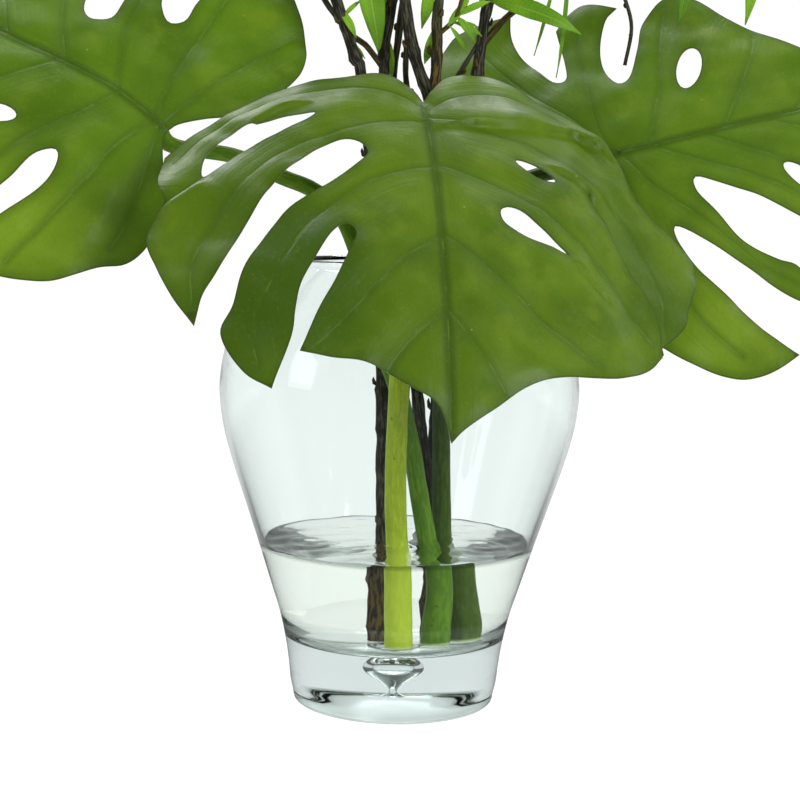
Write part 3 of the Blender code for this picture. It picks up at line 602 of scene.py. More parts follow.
def smooth(points, step, closed=False):
    """Points about one step apart on a smooth curve through the given ones."""
    pts = [np.array(p, float) for p in points]
    if closed:
        pts = [pts[-1]] + pts + pts[:2]
    else:
        pts = [2 * pts[0] - pts[1]] + pts + [2 * pts[-1] - pts[-2]]
    out = []
    for a, b, c, d in zip(pts, pts[1:], pts[2:], pts[3:]):
        n = max(1, round(float(np.linalg.norm(c - b)) / step))
        for i in range(n):
            u = i / n
            out.append(0.5 * (2 * b + (c - a) * u + (2 * a - 5 * b + 4 * c - d) * u**2
                              + (3 * b - a - 3 * c + d) * u**3))
    if not closed:
        out.append(pts[-2])
    return out


def along_evenly(points, step, part=6):
    """The smooth curve through the points, cut to equal lengths near one step."""
    fine = np.array(smooth(points, step / part))
    done = np.r_[0, np.cumsum(np.linalg.norm(np.diff(fine, axis=0), axis=1))]
    n = max(1, round(done[-1] / step))
    want = np.linspace(0, done[-1], n + 1)
    return np.stack([np.interp(want, done, fine[:, k]) for k in range(fine.shape[1])], 1)


def oval(s, t, long, wide, turn, n):
    """n points of an oval window, turned by that many degrees."""
    c, d = math.cos(math.radians(turn)), math.sin(math.radians(turn))
    a = 2 * math.pi * np.arange(n) / n
    u, v = long * np.cos(a), wide * np.sin(a)
    return np.stack([s + c * u - d * v, t + d * u + c * v], 1)


def loops_of(leaf, step):
    """The outer edge and the holes of a leaf, each a closed list of flat points."""
    outer = []
    for run in leaf["edge"]:
        outer += list(along_evenly(run, step))[:-1]
    loops = [np.array(outer)]
    loops += [np.array(smooth(hole, step, closed=True)) for hole in leaf["holes"]]
    for s, t, long, wide, turn in leaf["ovals"]:
        n = max(10, int(4 * long / step))
        loops.append(oval(s, t, long, wide, turn, n))
    return loops


def inside(loops, points):
    """Which flat points lie in the leaf, by counting the edges that a ray crosses."""
    hits = np.zeros(len(points), int)
    for loop in loops:
        q = np.roll(loop, -1, axis=0)
        for (ps, pt), (qs, qt) in zip(loop, q):
            if pt == qt:
                continue
            above = (pt > points[:, 1]) != (qt > points[:, 1])
            cut = ps + (points[:, 1] - pt) * (qs - ps) / (qt - pt)
            hits += above & (cut > points[:, 0])
    return hits % 2 == 1


def way_to(points, starts, ends):
    """The distance from each flat point to the nearest of some straight stretches."""
    best = np.full(len(points), 1e9)
    for a, b in zip(starts, ends):
        d = b - a
        u = np.clip(((points - a) @ d) / max(d @ d, 1e-9), 0, 1)
        best = np.minimum(best, np.linalg.norm(points - a - u[:, None] * d, axis=1))
    return best


def line_side(line):
    """The flat direction to the left of a line, from its ends."""
    s, t = np.array(line[-1], float) - line[0]
    return np.array([-t, s]) / math.hypot(s, t)


def beside(points, line):
    """How far flat points are from a line, which side they are on (left is 1), and a share
    that falls to nothing at the line's ends."""
    near, left = np.full(len(points), 1e9), np.ones(len(points))
    at = np.zeros(len(points))
    for i, (a, b) in enumerate(zip(line, line[1:])):
        d = b - a
        u = np.clip(((points - a) @ d) / (d @ d), 0, 1)
        off = points - a - u[:, None] * d
        far = np.linalg.norm(off, axis=1)
        new = far < near
        near = np.where(new, far, near)
        left = np.where(new, np.sign(d[0] * (points - a)[:, 1] - d[1] * (points - a)[:, 0]), left)
        at = np.where(new, (i + u) / (len(line) - 1), at)
    return near, left, np.clip(at * 5, 0, 1) * np.clip((1 - at) * 5, 0, 1)


def bend(leaf, flat):
    """Where flat leaf points (along, across) lie in space, with the surface's normals."""

    def place(s, t):
        p0, p1 = (math.radians(v) for v in leaf["pitch"])
        k = (p1 - p0) / leaf["length"]
        yaw = math.radians(leaf["yaw"])
        head = np.array([math.sin(yaw), -math.cos(yaw), 0.0])
        up = np.array([0.0, 0.0, 1.0])
        side = np.cross(up, head)
        pitch = p0 + k * s
        mid = (((np.sin(pitch) - math.sin(p0)) / k)[:, None] * head
               - ((math.cos(p0) - np.cos(pitch)) / k)[:, None] * up)
        above = np.sin(pitch)[:, None] * head + np.cos(pitch)[:, None] * up
        c = leaf["droop"] * MM
        off = (np.sign(t) * np.sin(c * abs(t)) / c)[:, None] * side
        sag = ((1 - np.cos(c * abs(t))) / c)[:, None] * above
        p = mid + off - sag
        axis = math.cos(p0) * head - math.sin(p0) * up
        r = math.radians(leaf["roll"])
        p = (p * math.cos(r) + np.cross(axis, p) * math.sin(r)
             + (p @ axis)[:, None] * axis * (1 - math.cos(r)))
        return p * leaf.get("grow", 1) + np.array(leaf["at"])

    s, t = flat[:, 0], flat[:, 1]
    points = place(s, t)
    normal = np.cross(place(s + 0.5, t) - place(s - 0.5, t), place(s, t + 0.5) - place(s, t - 0.5))
    normal /= np.linalg.norm(normal, axis=1)[:, None]
    return points, normal


def bell(x, width):
    """1 at nought, falling smoothly to nothing over about twice the width."""
    return np.exp(-((x / width) ** 2))


def blade(name, node, finish, seed):
    """A large leaf: veins drawn on its flat outline, then bent, quilted and given its skin."""
    leaf = LEAVES[node]
    loops = loops_of(leaf, EDGE_STEP)
    rim_from = np.vstack(loops)
    rim_to = np.vstack([np.roll(loop, -1, axis=0) for loop in loops])
    flat, lines = [], []
    for loop in loops:
        first, n = len(flat), len(loop)
        flat += [tuple(p) for p in loop]
        lines += [(first + i, first + (i + 1) % n) for i in range(n)]

    ribs = [along_evenly(leaf["midrib"], 4.0)]
    ribs += [along_evenly(v, 4.0) for v in leaf["veins"]]
    vein_from = np.vstack([v[:-1] for v in ribs])
    vein_to = np.vstack([v[1:] for v in ribs])
    taken = [rim_from]
    creases = [along_evenly(fold[0], 3.0) for fold in leaf["folds"] if fold[1] == 0]
    rows = [(line, a, a in (-0.7, 0.7)) for line in creases for a in (-0.7, 0.7, -2.4, 2.4)]
    rows += [(ribs[0], a, a == 0.0) for a in (0.0, -1.5, 1.5, -3.4, 3.4)]
    rows += [(line, a, a == 0.0) for line in ribs[1:] for a in (0.0, -1.1, 1.1, -2.6, 2.6)]
    for line, away, joined in rows:
        ahead = np.gradient(line, axis=0)
        ahead /= np.linalg.norm(ahead, axis=1)[:, None]
        row = line + np.stack([-ahead[:, 1], ahead[:, 0]], 1) * away
        good = inside(loops, row) & (way_to(row, rim_from, rim_to) > 1.2)
        if len(taken) > 1:
            had = np.vstack(taken[1:])
            good &= np.array([np.linalg.norm(had - p, axis=1).min() for p in row]) > 0.9
        first = len(flat)
        kept = row[good]
        flat += [tuple(p) for p in kept]
        if joined:
            number = {int(k): first + j for j, k in enumerate(np.flatnonzero(good))}
            lines += [(number[k], number[k + 1]) for k in number if k + 1 in number]
        if len(kept):
            taken.append(kept)
    low, high = rim_from.min(0), rim_from.max(0)
    rows = []
    for i in range(int((high[0] - low[0]) / (NET_STEP * 0.866)) + 1):
        t = np.arange(low[1] + (NET_STEP / 2 if i % 2 else 0), high[1], NET_STEP)
        rows.append(np.stack([np.full(len(t), low[0] + i * NET_STEP * 0.866), t], 1))
    grid = np.vstack(rows)
    grid = grid[inside(loops, grid)]
    had = np.vstack(taken)
    far = np.array([np.linalg.norm(had - p, axis=1).min() for p in grid])
    flat += [tuple(p) for p in grid[far > 0.55 * NET_STEP]]

    verts, _, tris, _, _, _ = geometry.delaunay_2d_cdt([Vector(p) for p in flat], lines, [], 0,
                                                       1e-5)
    flat = np.array([tuple(v) for v in verts])
    tris = np.array(tris)
    kept = tris[inside(loops, flat[tris].mean(1))]

    to_rib = way_to(flat, ribs[0][:-1], ribs[0][1:])
    to_vein = way_to(flat, vein_from, vein_to)
    to_edge = way_to(flat, rim_from, rim_to)
    run = np.clip(flat[:, 0] / leaf["length"], 0, 1)
    wave = np.array([noise.noise(Vector((s * 0.021, t * 0.021, seed))) for s, t in flat])
    ripple = np.array([noise.noise(Vector((s * 0.062, t * 0.062, seed + 9))) for s, t in flat])
    loose = np.clip(abs(flat[:, 1]) / 90, 0, 1)
    height = 1.5 * (1 - bell(to_vein, 13.0)) - 0.15 * bell(to_vein, 1.2)
    height += 5.0 * wave * loose + 1.5 * ripple * (0.35 + 0.65 * loose)
    height -= 0.7 * bell(to_edge, 3.5) + 0.9 * bell(to_rib, 4.5) * (1 - 0.6 * run)
    height += 1.3 * bell(to_rib, 2.0) * np.clip(1 - 1.5 * run, 0, 1)
    # Patches of painted light and shade: painted shade below nought, painted light above.
    painted_light_and_shade = sum(bell(np.linalg.norm(flat - (s, t), axis=1), wide) * much
               for s, t, wide, much in leaf["painted_light_and_shade_patches"])
    for line, over, up, down, reach in leaf["folds"]:
        near, left, share = beside(flat, np.array(line, float))
        flat -= (left > 0)[:, None] * line_side(line) * (over * share * bell(near, 11))[:, None]
        step = np.clip(left * near / 0.7, -1, 1) * 0.5 + 0.5
        height += share * (step * up * bell(near, reach) + (1 - step) * down * bell(near, reach / 2))
    points, normal = bend(leaf, flat)
    taper = 1 - 0.75 * run
    keel = 3.0 * taper * bell(to_rib, 2.3) + 1.1 * (0.4 + 0.6 * taper) * bell(to_vein, 1.5)
    keel *= np.clip(to_edge / 5.0, 0, 1)
    top = points + normal * (height + SKIN / 2)[:, None]
    bottom = points + normal * (height - SKIN / 2 - keel)[:, None]
    n = len(flat)
    faces, edge_of = [], set()
    for a, b, c in kept.tolist():
        faces += [(a, b, c), (n + a, n + c, n + b)]
        edge_of |= {(a, b), (b, c), (c, a)}
    sharp = []
    for u, v in edge_of:
        if (v, u) not in edge_of:
            faces.append((v, u, n + u, n + v))
            sharp += [(u, v), (n + u, n + v)]
    shell = np.vstack([top, bottom])
    used = np.unique(np.array([i for f in faces for i in f]))
    number = np.full(2 * n, -1)
    number[used] = np.arange(len(used))
    flat3 = np.hstack([flat, np.zeros((n, 1))])
    stored = {
        "flat": np.vstack([flat3, flat3 + (0, 0, 40)])[used],
        "to_vein": np.tile(to_vein, 2)[used],
        "to_rib": np.tile(to_rib, 2)[used],
        "to_edge": np.tile(to_edge, 2)[used],
        "painted_light_and_shade": np.tile(painted_light_and_shade, 2)[used],
        "under": np.r_[np.zeros(n), np.ones(n)][used],
    }
    number = number.tolist()
    return piece(name, node, shell[used], [tuple(number[i] for i in f) for f in faces],
                 [finish], stored, sharp=[(number[u], number[v]) for u, v in sharp])


def tube(points, radii, sides, uneven=0.0, seed=0.0, fibre=0.035):
    """Points and faces of a closed round stem, with what its bark or skin pattern follows."""
    points = np.array(points, float)
    ahead = np.gradient(points, axis=0)
    ahead /= np.linalg.norm(ahead, axis=1)[:, None]
    side = np.cross(ahead[0], (0.0, 1.0, 0.0))
    run = np.r_[0, np.cumsum(np.linalg.norm(np.diff(points, axis=0), axis=1))]
    verts, faces, around, along = [], [], [], []
    for i, (p, d) in enumerate(zip(points, ahead)):
        side = side - d * (side @ d)
        side /= np.linalg.norm(side)
        up = np.cross(d, side)
        for j in range(sides):
            a = 2 * math.pi * j / sides
            c, s = math.cos(a), math.sin(a)
            r = radii[i]
            if uneven:
                r *= 1 + uneven * noise.noise(Vector((c * 1.4, s * 1.4, run[i] * 0.09 + seed)))
            verts.append(p + r * (c * side + s * up))
            around.append((c, s, run[i] * fibre + seed))
            along.append(run[i])
        if i:
            for j in range(sides):
                a, b = (i - 1) * sides + j, (i - 1) * sides + (j + 1) % sides
                faces.append((a, b, b + sides, a + sides))
    last = len(verts) - sides
    faces.append(tuple(range(sides))[::-1])
    faces.append(tuple(range(last, last + sides)))
    return verts, faces, around, along


def stalk(name, node, finish, seed):
    """A leaf's stalk from the glass floor, swelling under the blade and running into its rib."""
    leaf_node, (foot, top), lean, given = STALKS[node]
    leaf = LEAVES[leaf_node]
    x, y = given[0]
    (at, ahead), (normal, _) = bend(leaf, np.array([(5.0, 0.0), (6.0, 0.0)]))
    on = (ahead - at) / np.linalg.norm(ahead - at)
    way = normal * math.sqrt(1 - lean**2) + on * lean
    end = at - normal * (BLADE / 2 + GAP + top * lean)
    bends = [(x, y, FLOOR_Z + GAP), (x, y, FLOOR_Z + SILL)] + list(given[1:])
    bends += [tuple(end - way * 14), tuple(end)]
    path = along_evenly(bends, 4.0, part=4)
    u = np.linspace(0, 1, len(path))
    radii = foot + (top - foot) * u
    radii = radii * (1 + 0.22 * bell((u - 1) * len(path) * 4.0, 16.0))
    if lean > 0.5:
        radii += 1.1 * bell(np.clip(path[:, 2] - FLOOR_Z, 0, None), 42)
        keel, keel_normal = bend(leaf, np.array([(s, 0.0) for s in (9.0, 16.0, 26.0, 38.0)]))
        thin = np.array([3.7, 3.0, 2.1, 1.2])
        tail = along_evenly([tuple(path[-1])] + [tuple(p) for p in keel - keel_normal
                                                 * (thin + 0.5)[:, None]], 4.0)
        more = np.linspace(0, 1, len(tail))[1:]
        path = np.vstack([path, tail[1:]])
        radii = np.r_[radii, np.interp(more, (0, 0.24, 0.42, 0.68, 1), (radii[-1], *thin))]
    else:
        path = np.vstack([path[:-1], path[-1] - way * 1.6, path[-1] - way * 0.5, path[-1]])
        radii = np.r_[radii[:-1], radii[-1] * 0.97, radii[-1] * 0.8, radii[-1] * 0.4]
    verts, faces, around, along = tube(path, radii, 20, 0.035, seed)
    sharp = [(cap[i - 1], cap[i]) for cap in faces[-2:] for i in range(len(cap))]
    return piece(name, node, verts, faces, [finish], {"around": around, "along": along},
                 sharp=sharp)


def at_height(path, z):
    """The point where a path first reaches a height."""
    for p, q in zip(path, path[1:]):
        if p[2] <= z < q[2]:
            return p + (q - p) * (z - p[2]) / (q[2] - p[2])
    return path[-1]


def widths(path, ends):
    """The radius at each point of a path that narrows evenly from its foot."""
    foot, top = ends
    return [foot + (top - foot) * i / (len(path) - 1) for i in range(len(path))]


def stems_of(name):
    """The stems of a spray: coarse paths as in the CAD model, with the points they go through."""
    plan = SPRAYS[name]
    x, y = plan["path"][0]
    given = [(x, y, FLOOR_Z + GAP), (x, y, FLOOR_Z + SILL)] + plan["path"][1:]
    main = along_evenly(given, 24.0)
    stems = [(main, given, plan["radius"])]
    rows = [(main, plan["leaves"])]
    for parent, z, radius, count, points in plan["twigs"]:
        given = [tuple(at_height(stems[parent][0], z))] + points
        path = along_evenly(given, 20.0)
        stems.append((path, given, (radius, min(radius, 1.1))))
        rows.append((path, count))
    return stems, [(path[path[:, 2] > LEAFY_Z], count) for path, count in rows if count]


def marks(foot, tip):
    """Points along a small leaf, for judging how near it comes to another piece."""
    foot, tip = np.array(foot, float), np.array(tip, float)
    return [foot + (tip - foot) * u for u in (0.3, 0.5, 0.7, 0.9, 1.0)]


def plan_sprays():
    """All stems and small leaves, placed by the rule that the CAD model uses."""
    plans = {name: stems_of(name) for name in SPRAYS}
    taken = {name: [p for path, _, _ in stems for p in path]
             for name, (stems, _) in plans.items()}
    for name in SPRAYS:
        for foot, tip, _ in SPRAYS[name]["lances"]:
            taken[name] += marks(foot, tip)
    for name in LEAVES:
        taken[name] = list(bend(LEAVES[name], np.vstack(loops_of(LEAVES[name], 13.0)))[0])
    done = {}
    for name, (stems, rows) in plans.items():
        others = np.array([p for other in taken if other != name for p in taken[other]])
        leaves = [(foot, tip, FACING, w) for foot, tip, w in SPRAYS[name]["lances"]]
        for i, (path, count) in enumerate(rows):
            for j in range(count):
                at = (j + 0.7) / count * (len(path) - 1)
                k = min(int(at), len(path) - 2)
                p = path[k] + (path[k + 1] - path[k]) * (at - k)
                d = (path[k + 1] - path[k]) / np.linalg.norm(path[k + 1] - path[k])
                long = 62 + 9 * math.sin(2.1 * j + i)
                for trial in range(9):
                    turn = math.radians(137.5 * j + 70 * i + 40 + 40 * trial)
                    out = np.array([math.cos(turn), math.sin(turn), 0.0])
                    out -= d * (out @ d)
                    way = out / np.linalg.norm(out) * 0.8 + d * 0.55
                    tip = p + way / np.linalg.norm(way) * long - np.array((0, 0, 0.16 * long))
                    near = [np.linalg.norm(others - q, axis=1).min() for q in marks(p, tip)]
                    if min(near) > CLEAR:
                        leaves.append((p, tip, d, 13 + 2 * math.sin(j)))
                        taken[name] += marks(p, tip)
                        break
        done[name] = (stems, leaves)
    return done


def lance(base, tip, up, wide, seed):
    """A small pointed leaf: a channelled blade with a slightly waved edge and a thin foot."""
    base, tip = np.array(base, float), np.array(tip, float)
    length = np.linalg.norm(tip - base)
    ahead = (tip - base) / length
    side = np.cross(ahead, up)
    side /= np.linalg.norm(side)
    up = np.cross(side, ahead)
    u = np.linspace(0, 1, 15)
    half = np.interp(u, (0, 0.05, 0.12, 0.2, 0.35, 0.5, 0.65, 0.78, 0.9, 0.97, 1.0),
                     (0.05, 0.08, 0.24, 0.38, 0.48, 0.5, 0.45, 0.34, 0.17, 0.05, 0.012)) * wide
    half = np.maximum(half, 0.3)
    reach = (-1.0, -0.55, 0.0, 0.55, 1.0)
    verts, across, along = [], [], []
    for face in (1, -1):
        for k, (v, h) in enumerate(zip(u, half)):
            mid = base + ahead * length * v + up * length * 0.42 * (v - v * v)
            curl = -0.05 * length * max(0.0, v - 0.7) ** 2 * 8
            wave = 0.06 * h * math.sin(v * 17 + seed)
            for w in reach:
                rise = 0.26 * h * abs(w) ** 1.3 + wave * w
                skin = 0.28 * (1 - 0.5 * abs(w)) + (0.35 if w == 0.0 and face < 0 else 0)
                verts.append(mid + side * h * w + up * (curl + rise + face * skin))
                across.append(abs(w))
                along.append(v * length)
    n, m = len(u), len(reach)
    faces = []
    for k in range(n - 1):
        for j in range(m - 1):
            a = k * m + j
            faces.append((a, a + 1, a + 1 + m, a + m))
            b = n * m + a
            faces.append((b, b + m, b + m + 1, b + 1))
    for k in range(n - 1):
        a, b = k * m, n * m + k * m
        faces.append((a, a + m, b + m, b))
        a, b = a + m - 1, b + m - 1
        faces.append((a, b, b + m, a + m))
    for j in range(m - 1):
        a, b = j, n * m + j
        faces.append((a, b, b + 1, a + 1))
        a, b = a + (n - 1) * m, b + (n - 1) * m
        faces.append((a, a + 1, b + 1, b))
    return verts, faces, across, along


def spray(name, node, stems, leaves, finishes, seed):
    """A woody stem with swollen nodes and buds, its twigs and its small leaves."""
    verts, faces, which = [], [], []
    kept = {"around": [], "along": [], "young": [], "across": []}

    def add(part_verts, part_faces, material, around, along, young, across):
        first = len(verts)
        verts.extend(part_verts)
        faces.extend(tuple(first + i for i in f) for f in part_faces)
        which.extend([material] * len(part_faces))
        kept["around"].extend(around)
        kept["along"].extend(along)
        kept["young"].extend(young)
        kept["across"].extend(across)

    for i, (_, given, ends) in enumerate(stems):
        step = 3.0 if i == 0 else 3.5
        path = along_evenly(given, step, part=4)
        run = np.arange(len(path)) * step
        radii = np.array(widths(path, ends))
        gap = 26.0 if i == 0 else 19.0
        knots = np.arange(12.0 + 5 * ((i + seed) % 3), run[-1] - 6, gap)
        for k, at in enumerate(knots):
            at = at + 5 * math.sin(k * 2.3 + i + seed)
            radii = radii + (0.12 + 0.07 * math.sin(k * 1.7)) * ends[0] * bell(run - at, 2.4)
        sides = 14 if i == 0 else 10
        v, f, around, along = tube(path, radii, sides, 0.16, seed + 3.1 * i)
        share = np.clip((path[:, 2] - 380) / 260, 0, 1) if i == 0 else np.clip(
            (path[:, 2] - 330) / 200, 0, 1)
        add(v, f, 0, around, along, np.repeat(share, sides), [0.5] * len(v))
        ahead = np.gradient(path, axis=0)
        for k, at in enumerate(knots[1:]):
            n = min(len(path) - 1, int(at / step))
            turn = k * 2.4 + i + seed
            out = np.array((math.cos(turn), math.sin(turn), 0.0))
            d = ahead[n] / np.linalg.norm(ahead[n])
            out -= d * (out @ d)
            out /= np.linalg.norm(out)
            tall = min(5.0, 1.3 * radii[n] + 1.0)
            foot = path[n] + out * radii[n] * 0.6
            bud = [foot, foot + out * tall * 0.45 + d * tall * 0.25,
                   foot + out * tall * 0.55 + d * tall * 0.7,
                   foot + out * tall * 0.5 + d * tall]
            v, f, around, along = tube(bud, [1.3, 1.25, 0.8, 0.15], 8, 0.0, seed + k)
            add(v, f, 0, around, along, [share[n]] * len(v), [0.5] * len(v))
    for k, (foot, tip, up, wide) in enumerate(leaves):
        v, f, across, along = lance(foot, tip, up, wide, seed + k)
        add(v, f, 1, [(0, 0, 0)] * len(v), along, [1.0] * len(v), across)
    return piece(name, node, verts, faces, finishes, kept, which)


def turned(section, height=None):
    """Points and faces of a body turned about Z from a half section, axis to axis."""
    points, rings, faces = [], [], []
    for r, z in section:
        first = len(points)
        if r < 1e-6:
            points.append((0, 0, z))
            rings.append([first] * TURNS)
            continue
        for i in range(TURNS):
            a = 2 * math.pi * i / TURNS
            points.append((r * math.cos(a), r * math.sin(a), z))
        rings.append(list(range(first, first + TURNS)))
    for low, high in zip(rings, rings[1:]):
        for i in range(TURNS):
            j = (i + 1) % TURNS
            quad = [low[i], low[j], high[j], high[i]]
            faces.append(tuple(v for n, v in enumerate(quad) if v != quad[n - 1]))
    points = np.array(points, float)
    if height is not None:
        points[:, 2] += height(points)
    return points, faces


def vase(finish):
    """The glass with its solid base, and a sealed bubble as a second skin turned inward."""
    wall = along_evenly(INSIDE, 2.2)
    wall[-1, 0] = 0.0
    base = [(r, 0.0) for r in (0.0, 6.0, 14.0, 26.0, 40.0, 49.0)]
    section = base + list(along_evenly(FOOT, 0.8)) + list(along_evenly(OUTSIDE, 2.2)[1:])
    points, faces = turned(section + list(wall[1:]))
    hollow = along_evenly(BUBBLE, 0.8)
    hollow[0, 0] = hollow[-1, 0] = 0.0
    more, more_faces = turned(hollow)
    n = len(points)
    faces += [tuple(n + i for i in f) for f in more_faces]
    points = np.vstack([points, more])
    foot = (points[:, 2] < 0.01) * 1.0
    # Painted shade: a dark ring at the back of the foot's rounding, where the glass shows a dark
    # line.
    painted_dark_ring = bell(points[:, 2] - 1.2, 0.75) * np.clip(points[:, 1] / 24, 0, 1)
    painted_dark_ring *= (np.arange(len(points)) < n) & (np.hypot(points[:, 0], points[:, 1]) > 51)
    return piece("vase_glass", "vase", points, faces, [finish],
                 {"foot": foot, "painted_dark_ring": painted_dark_ring})


def stem_spots():
    """Where each stalk and stem passes the water's surface, with its radius."""
    spots = []
    for _, (foot, _), _, given in STALKS.values():
        spots.append((*given[1][:2], foot))
    for plan in SPRAYS.values():
        spots.append((*plan["path"][1][:2], plan["radius"][0]))
    return spots


def water(finish):
    """Water that climbs a little at the wall and at each stem, with ripples on its top."""
    wall = along_evenly(INSIDE, 2.2)[::-1]
    wall = [p for p in wall if p[1] < WATER_Z and p[0] > 1.0]
    rim = wall[-1][0] + (WATER_Z - wall[-1][1]) * 0.33 + WET
    side = [(r + WET, z - WET * 0.3) for r, z in wall]
    bottom = [(0.0, FLOOR_Z - WET)]
    top = [(rim * u, WATER_Z) for u in np.sqrt(np.linspace(1, 0, 34))]
    section = bottom + [(side[0][0], FLOOR_Z - WET)] + side[1:] + top
    spots = stem_spots()

    def surface(points):
        x, y, z = points.T
        r = np.hypot(x, y)
        rise = 1.1 * np.exp(-np.clip(rim - r, 0, None) / 2.8)
        for sx, sy, sr in spots:
            rise += 1.3 * np.exp(-np.clip(np.hypot(x - sx, y - sy) - sr, 0, None) / 2.6)
        a, b = x * 0.11, y * 0.11
        rise += 0.24 * np.sin(1.7 * a + 0.9 * b) + 0.20 * np.sin(2.6 * b - 1.2 * a + 1.0)
        for sx, sy, long in ((-48, -14, 6.0), (50, -10, 5.2), (-30, 34, 6.5), (38, 36, 6.0)):
            d = np.hypot(x - sx, (y - sy) * 0.8)
            rise += 0.34 * np.cos(d * 6.283 / long / 1.6) * np.exp(-d / 15)
        return np.where(z > WATER_Z - 1e-6, rise, 0.0)

    points, faces = turned(section, surface)
    level = np.clip((points[:, 2] - WATER_Z + 1.2) / 1.0, 0, 1)
    # Painted shade: a dark ring along the water's edge at the wall, darker towards the front.
    painted_dark_ring = level * bell(rim - np.hypot(points[:, 0], points[:, 1]), 1.3)
    painted_dark_ring *= 0.35 + 0.45 * np.clip(0.5 - points[:, 1] / 60, 0, 1)
    return piece("vase_water", "water", points, faces, [finish], {"painted_dark_ring": painted_dark_ring})


def lamp(name, at, size, power, mirrored=True):
    """A soft box. One that isn't mirrored lights the pieces but leaves no sheen on them."""
    data = bpy.data.lights.new(name, "AREA")
    data.shape, data.size, data.size_y = "RECTANGLE", size[0], size[1]
    data.energy = power
    obj = bpy.data.objects.new(name, data)
    obj.location = at
    obj.rotation_euler = (Vector(LIT_POINT) - Vector(at)).to_track_quat("-Z", "Y").to_euler()
    obj.visible_glossy = obj.visible_transmission = mirrored
    bpy.context.scene.collection.objects.link(obj)


def floor():
    """A pale floor, shining white to the camera and darker where pieces mirror its front."""
    mesh = bpy.data.meshes.new("floor")
    s = FLOOR_HALF
    mesh.from_pydata([(-s, -s, 0), (s, -s, 0), (s, s, 0), (-s, s, 0)], [], [(0, 1, 2, 3)])
    obj = bpy.data.objects.new("floor", mesh)
    obj.location.z = -FLOOR_SUNK
    bpy.context.scene.collection.objects.link(obj)
    plain = finish("floor", {"Base Color": (0.08, 0.08, 0.08, 1), "Roughness": 0.9,
                             "Specular IOR Level": 0.1, "Emission Strength": 0.99})
    mirrored = plain.rise(plain.ray("Glossy Depth"), 0.0, 1.0)
    within = plain.rise(plain.ray("Transmission Depth"), 0.0, 1.0)
    back = plain.node("ShaderNodeSeparateXYZ", {}, {0: plain.place()}, out=1)
    dark = plain.blend((0.02, 0.02, 0.02), (0.08, 0.08, 0.08), within)
    seen_in_gloss = plain.blend((0.66, 0.68, 0.67), dark, 1 - plain.rise(back, 0.1, 0.6))
    plain.feed("Emission Color", plain.blend((1, 1, 1), seen_in_gloss, mirrored))
    mesh.materials.append(plain.owner)


def surroundings():
    """White to the camera, also through glass and water. Gloss mirrors it bright at the back
    and dark in front, and as light on rough surfaces it stays dim."""
    world = bpy.data.worlds.new("studio")
    bpy.context.scene.world = world
    sky = Recipe(world, "Background", {"Color": (1, 1, 1, 1)})
    diffuse, glossy = sky.ray("Diffuse Depth"), sky.ray("Glossy Depth")
    clear = sky.ray("Transmission Depth")

    def clamped(operation, first, second):
        return sky.node("ShaderNodeMath", {"operation": operation, "use_clamp": True},
                        {0: first, 1: second})

    seen = clamped("MAXIMUM", sky.ray("Is Camera Ray"), sky.ray("Is Transmission Ray"))
    seen = clamped("SUBTRACT", clamped("SUBTRACT", seen, diffuse), glossy)
    mirrored = clamped("SUBTRACT", glossy, diffuse)
    back = sky.node("ShaderNodeSeparateXYZ", {}, {0: sky.place("Generated")}, out=1)
    # Each pair is the value outside the glass and the value within it
    end, front, rear = (sky.ramp(clear, 0.0, 1.0, outside, within)
                        for outside, within in ((0.5, 0.15), (0.04, 0.10), (0.66, 0.86)))
    unseen = sky.ramp(mirrored, 0.0, 1.0, 0.36, sky.ramp(back, -0.1, end, front, rear))
    white = sky.ramp(clear, 4.0, 6.0, 1.02, 1.17)
    sky.feed("Strength", sky.ramp(seen, 0.0, 1.0, unseen, white))


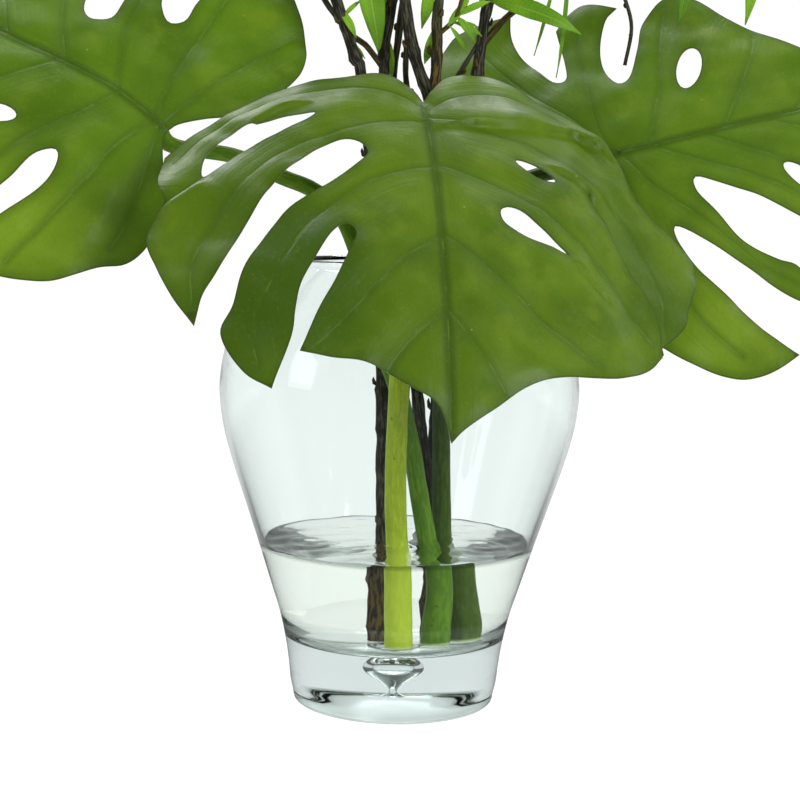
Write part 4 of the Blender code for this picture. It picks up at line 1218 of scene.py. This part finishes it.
def lamps():
    """Soft boxes above and at both sides, and a fill from the right that nothing mirrors."""
    lamp("top_box", (-0.20, 0.80, 1.75), (1.5, 0.8), 23)
    lamp("right_box", (1.4, -1.3, 1.2), (0.9, 0.9), 10)
    lamp("right_fill", (1.4, -1.3, 1.2), (0.9, 0.9), 21, mirrored=False)
    lamp("left_box", (-1.6, -0.8, 0.9), (0.6, 1.2), 4)


def camera():
    """The photo's view: a long lens from the front and slightly above, with a small roll."""
    ahead = Vector((0, math.cos(CAMERA_PITCH), -math.sin(CAMERA_PITCH)))
    right = Vector((1, 0, 0))
    up = right.cross(ahead)
    turned_right = right * math.cos(CAMERA_ROLL) + up * math.sin(CAMERA_ROLL)
    turned_up = up * math.cos(CAMERA_ROLL) - right * math.sin(CAMERA_ROLL)
    data = bpy.data.cameras.new("camera")
    data.sensor_width, data.lens = SENSOR, LENS
    obj = bpy.data.objects.new("camera", data)
    rows = Matrix((turned_right, turned_up, -ahead)).transposed().to_4x4()
    obj.matrix_world = Matrix.Translation(CAMERA_AT) @ rows
    bpy.context.scene.collection.objects.link(obj)
    bpy.context.scene.camera = obj


def studio():
    floor()
    surroundings()
    lamps()
    camera()
    bpy.context.scene.view_settings.view_transform = "Standard"


def main():
    vase(clear_finish("glass", (0.950, 0.998, 0.985), 1.5, (0.29, 0.43, 0.42), 4.5, 0.35))
    water(clear_finish("water", (1.0, 1.0, 0.985), 1.33, (0.9, 0.9, 0.5), 0.8, gloss=0.3))
    for name, node, skin, deep, body, sunny, shift, seed in BLADES:
        blade(name, node, blade_finish(skin, deep, body, sunny, shift), seed)
    for name, node, slot, skin, body, light, dark, foot, seed in GREENS:
        stalk(name, node, stalk_finish(skin, body, light, dark, foot), seed)
    finishes = [bark_finish(), small_leaf_finish()]
    for seed, (node, (stems, leaves)) in enumerate(plan_sprays().items()):
        leaves += [(foot, tip, FACING, w) for n, foot, tip, w in TINY if n == node]
        spray(node.replace("spray", "branch"), node, stems, leaves, finishes, float(seed))
    studio()
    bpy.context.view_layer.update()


main()
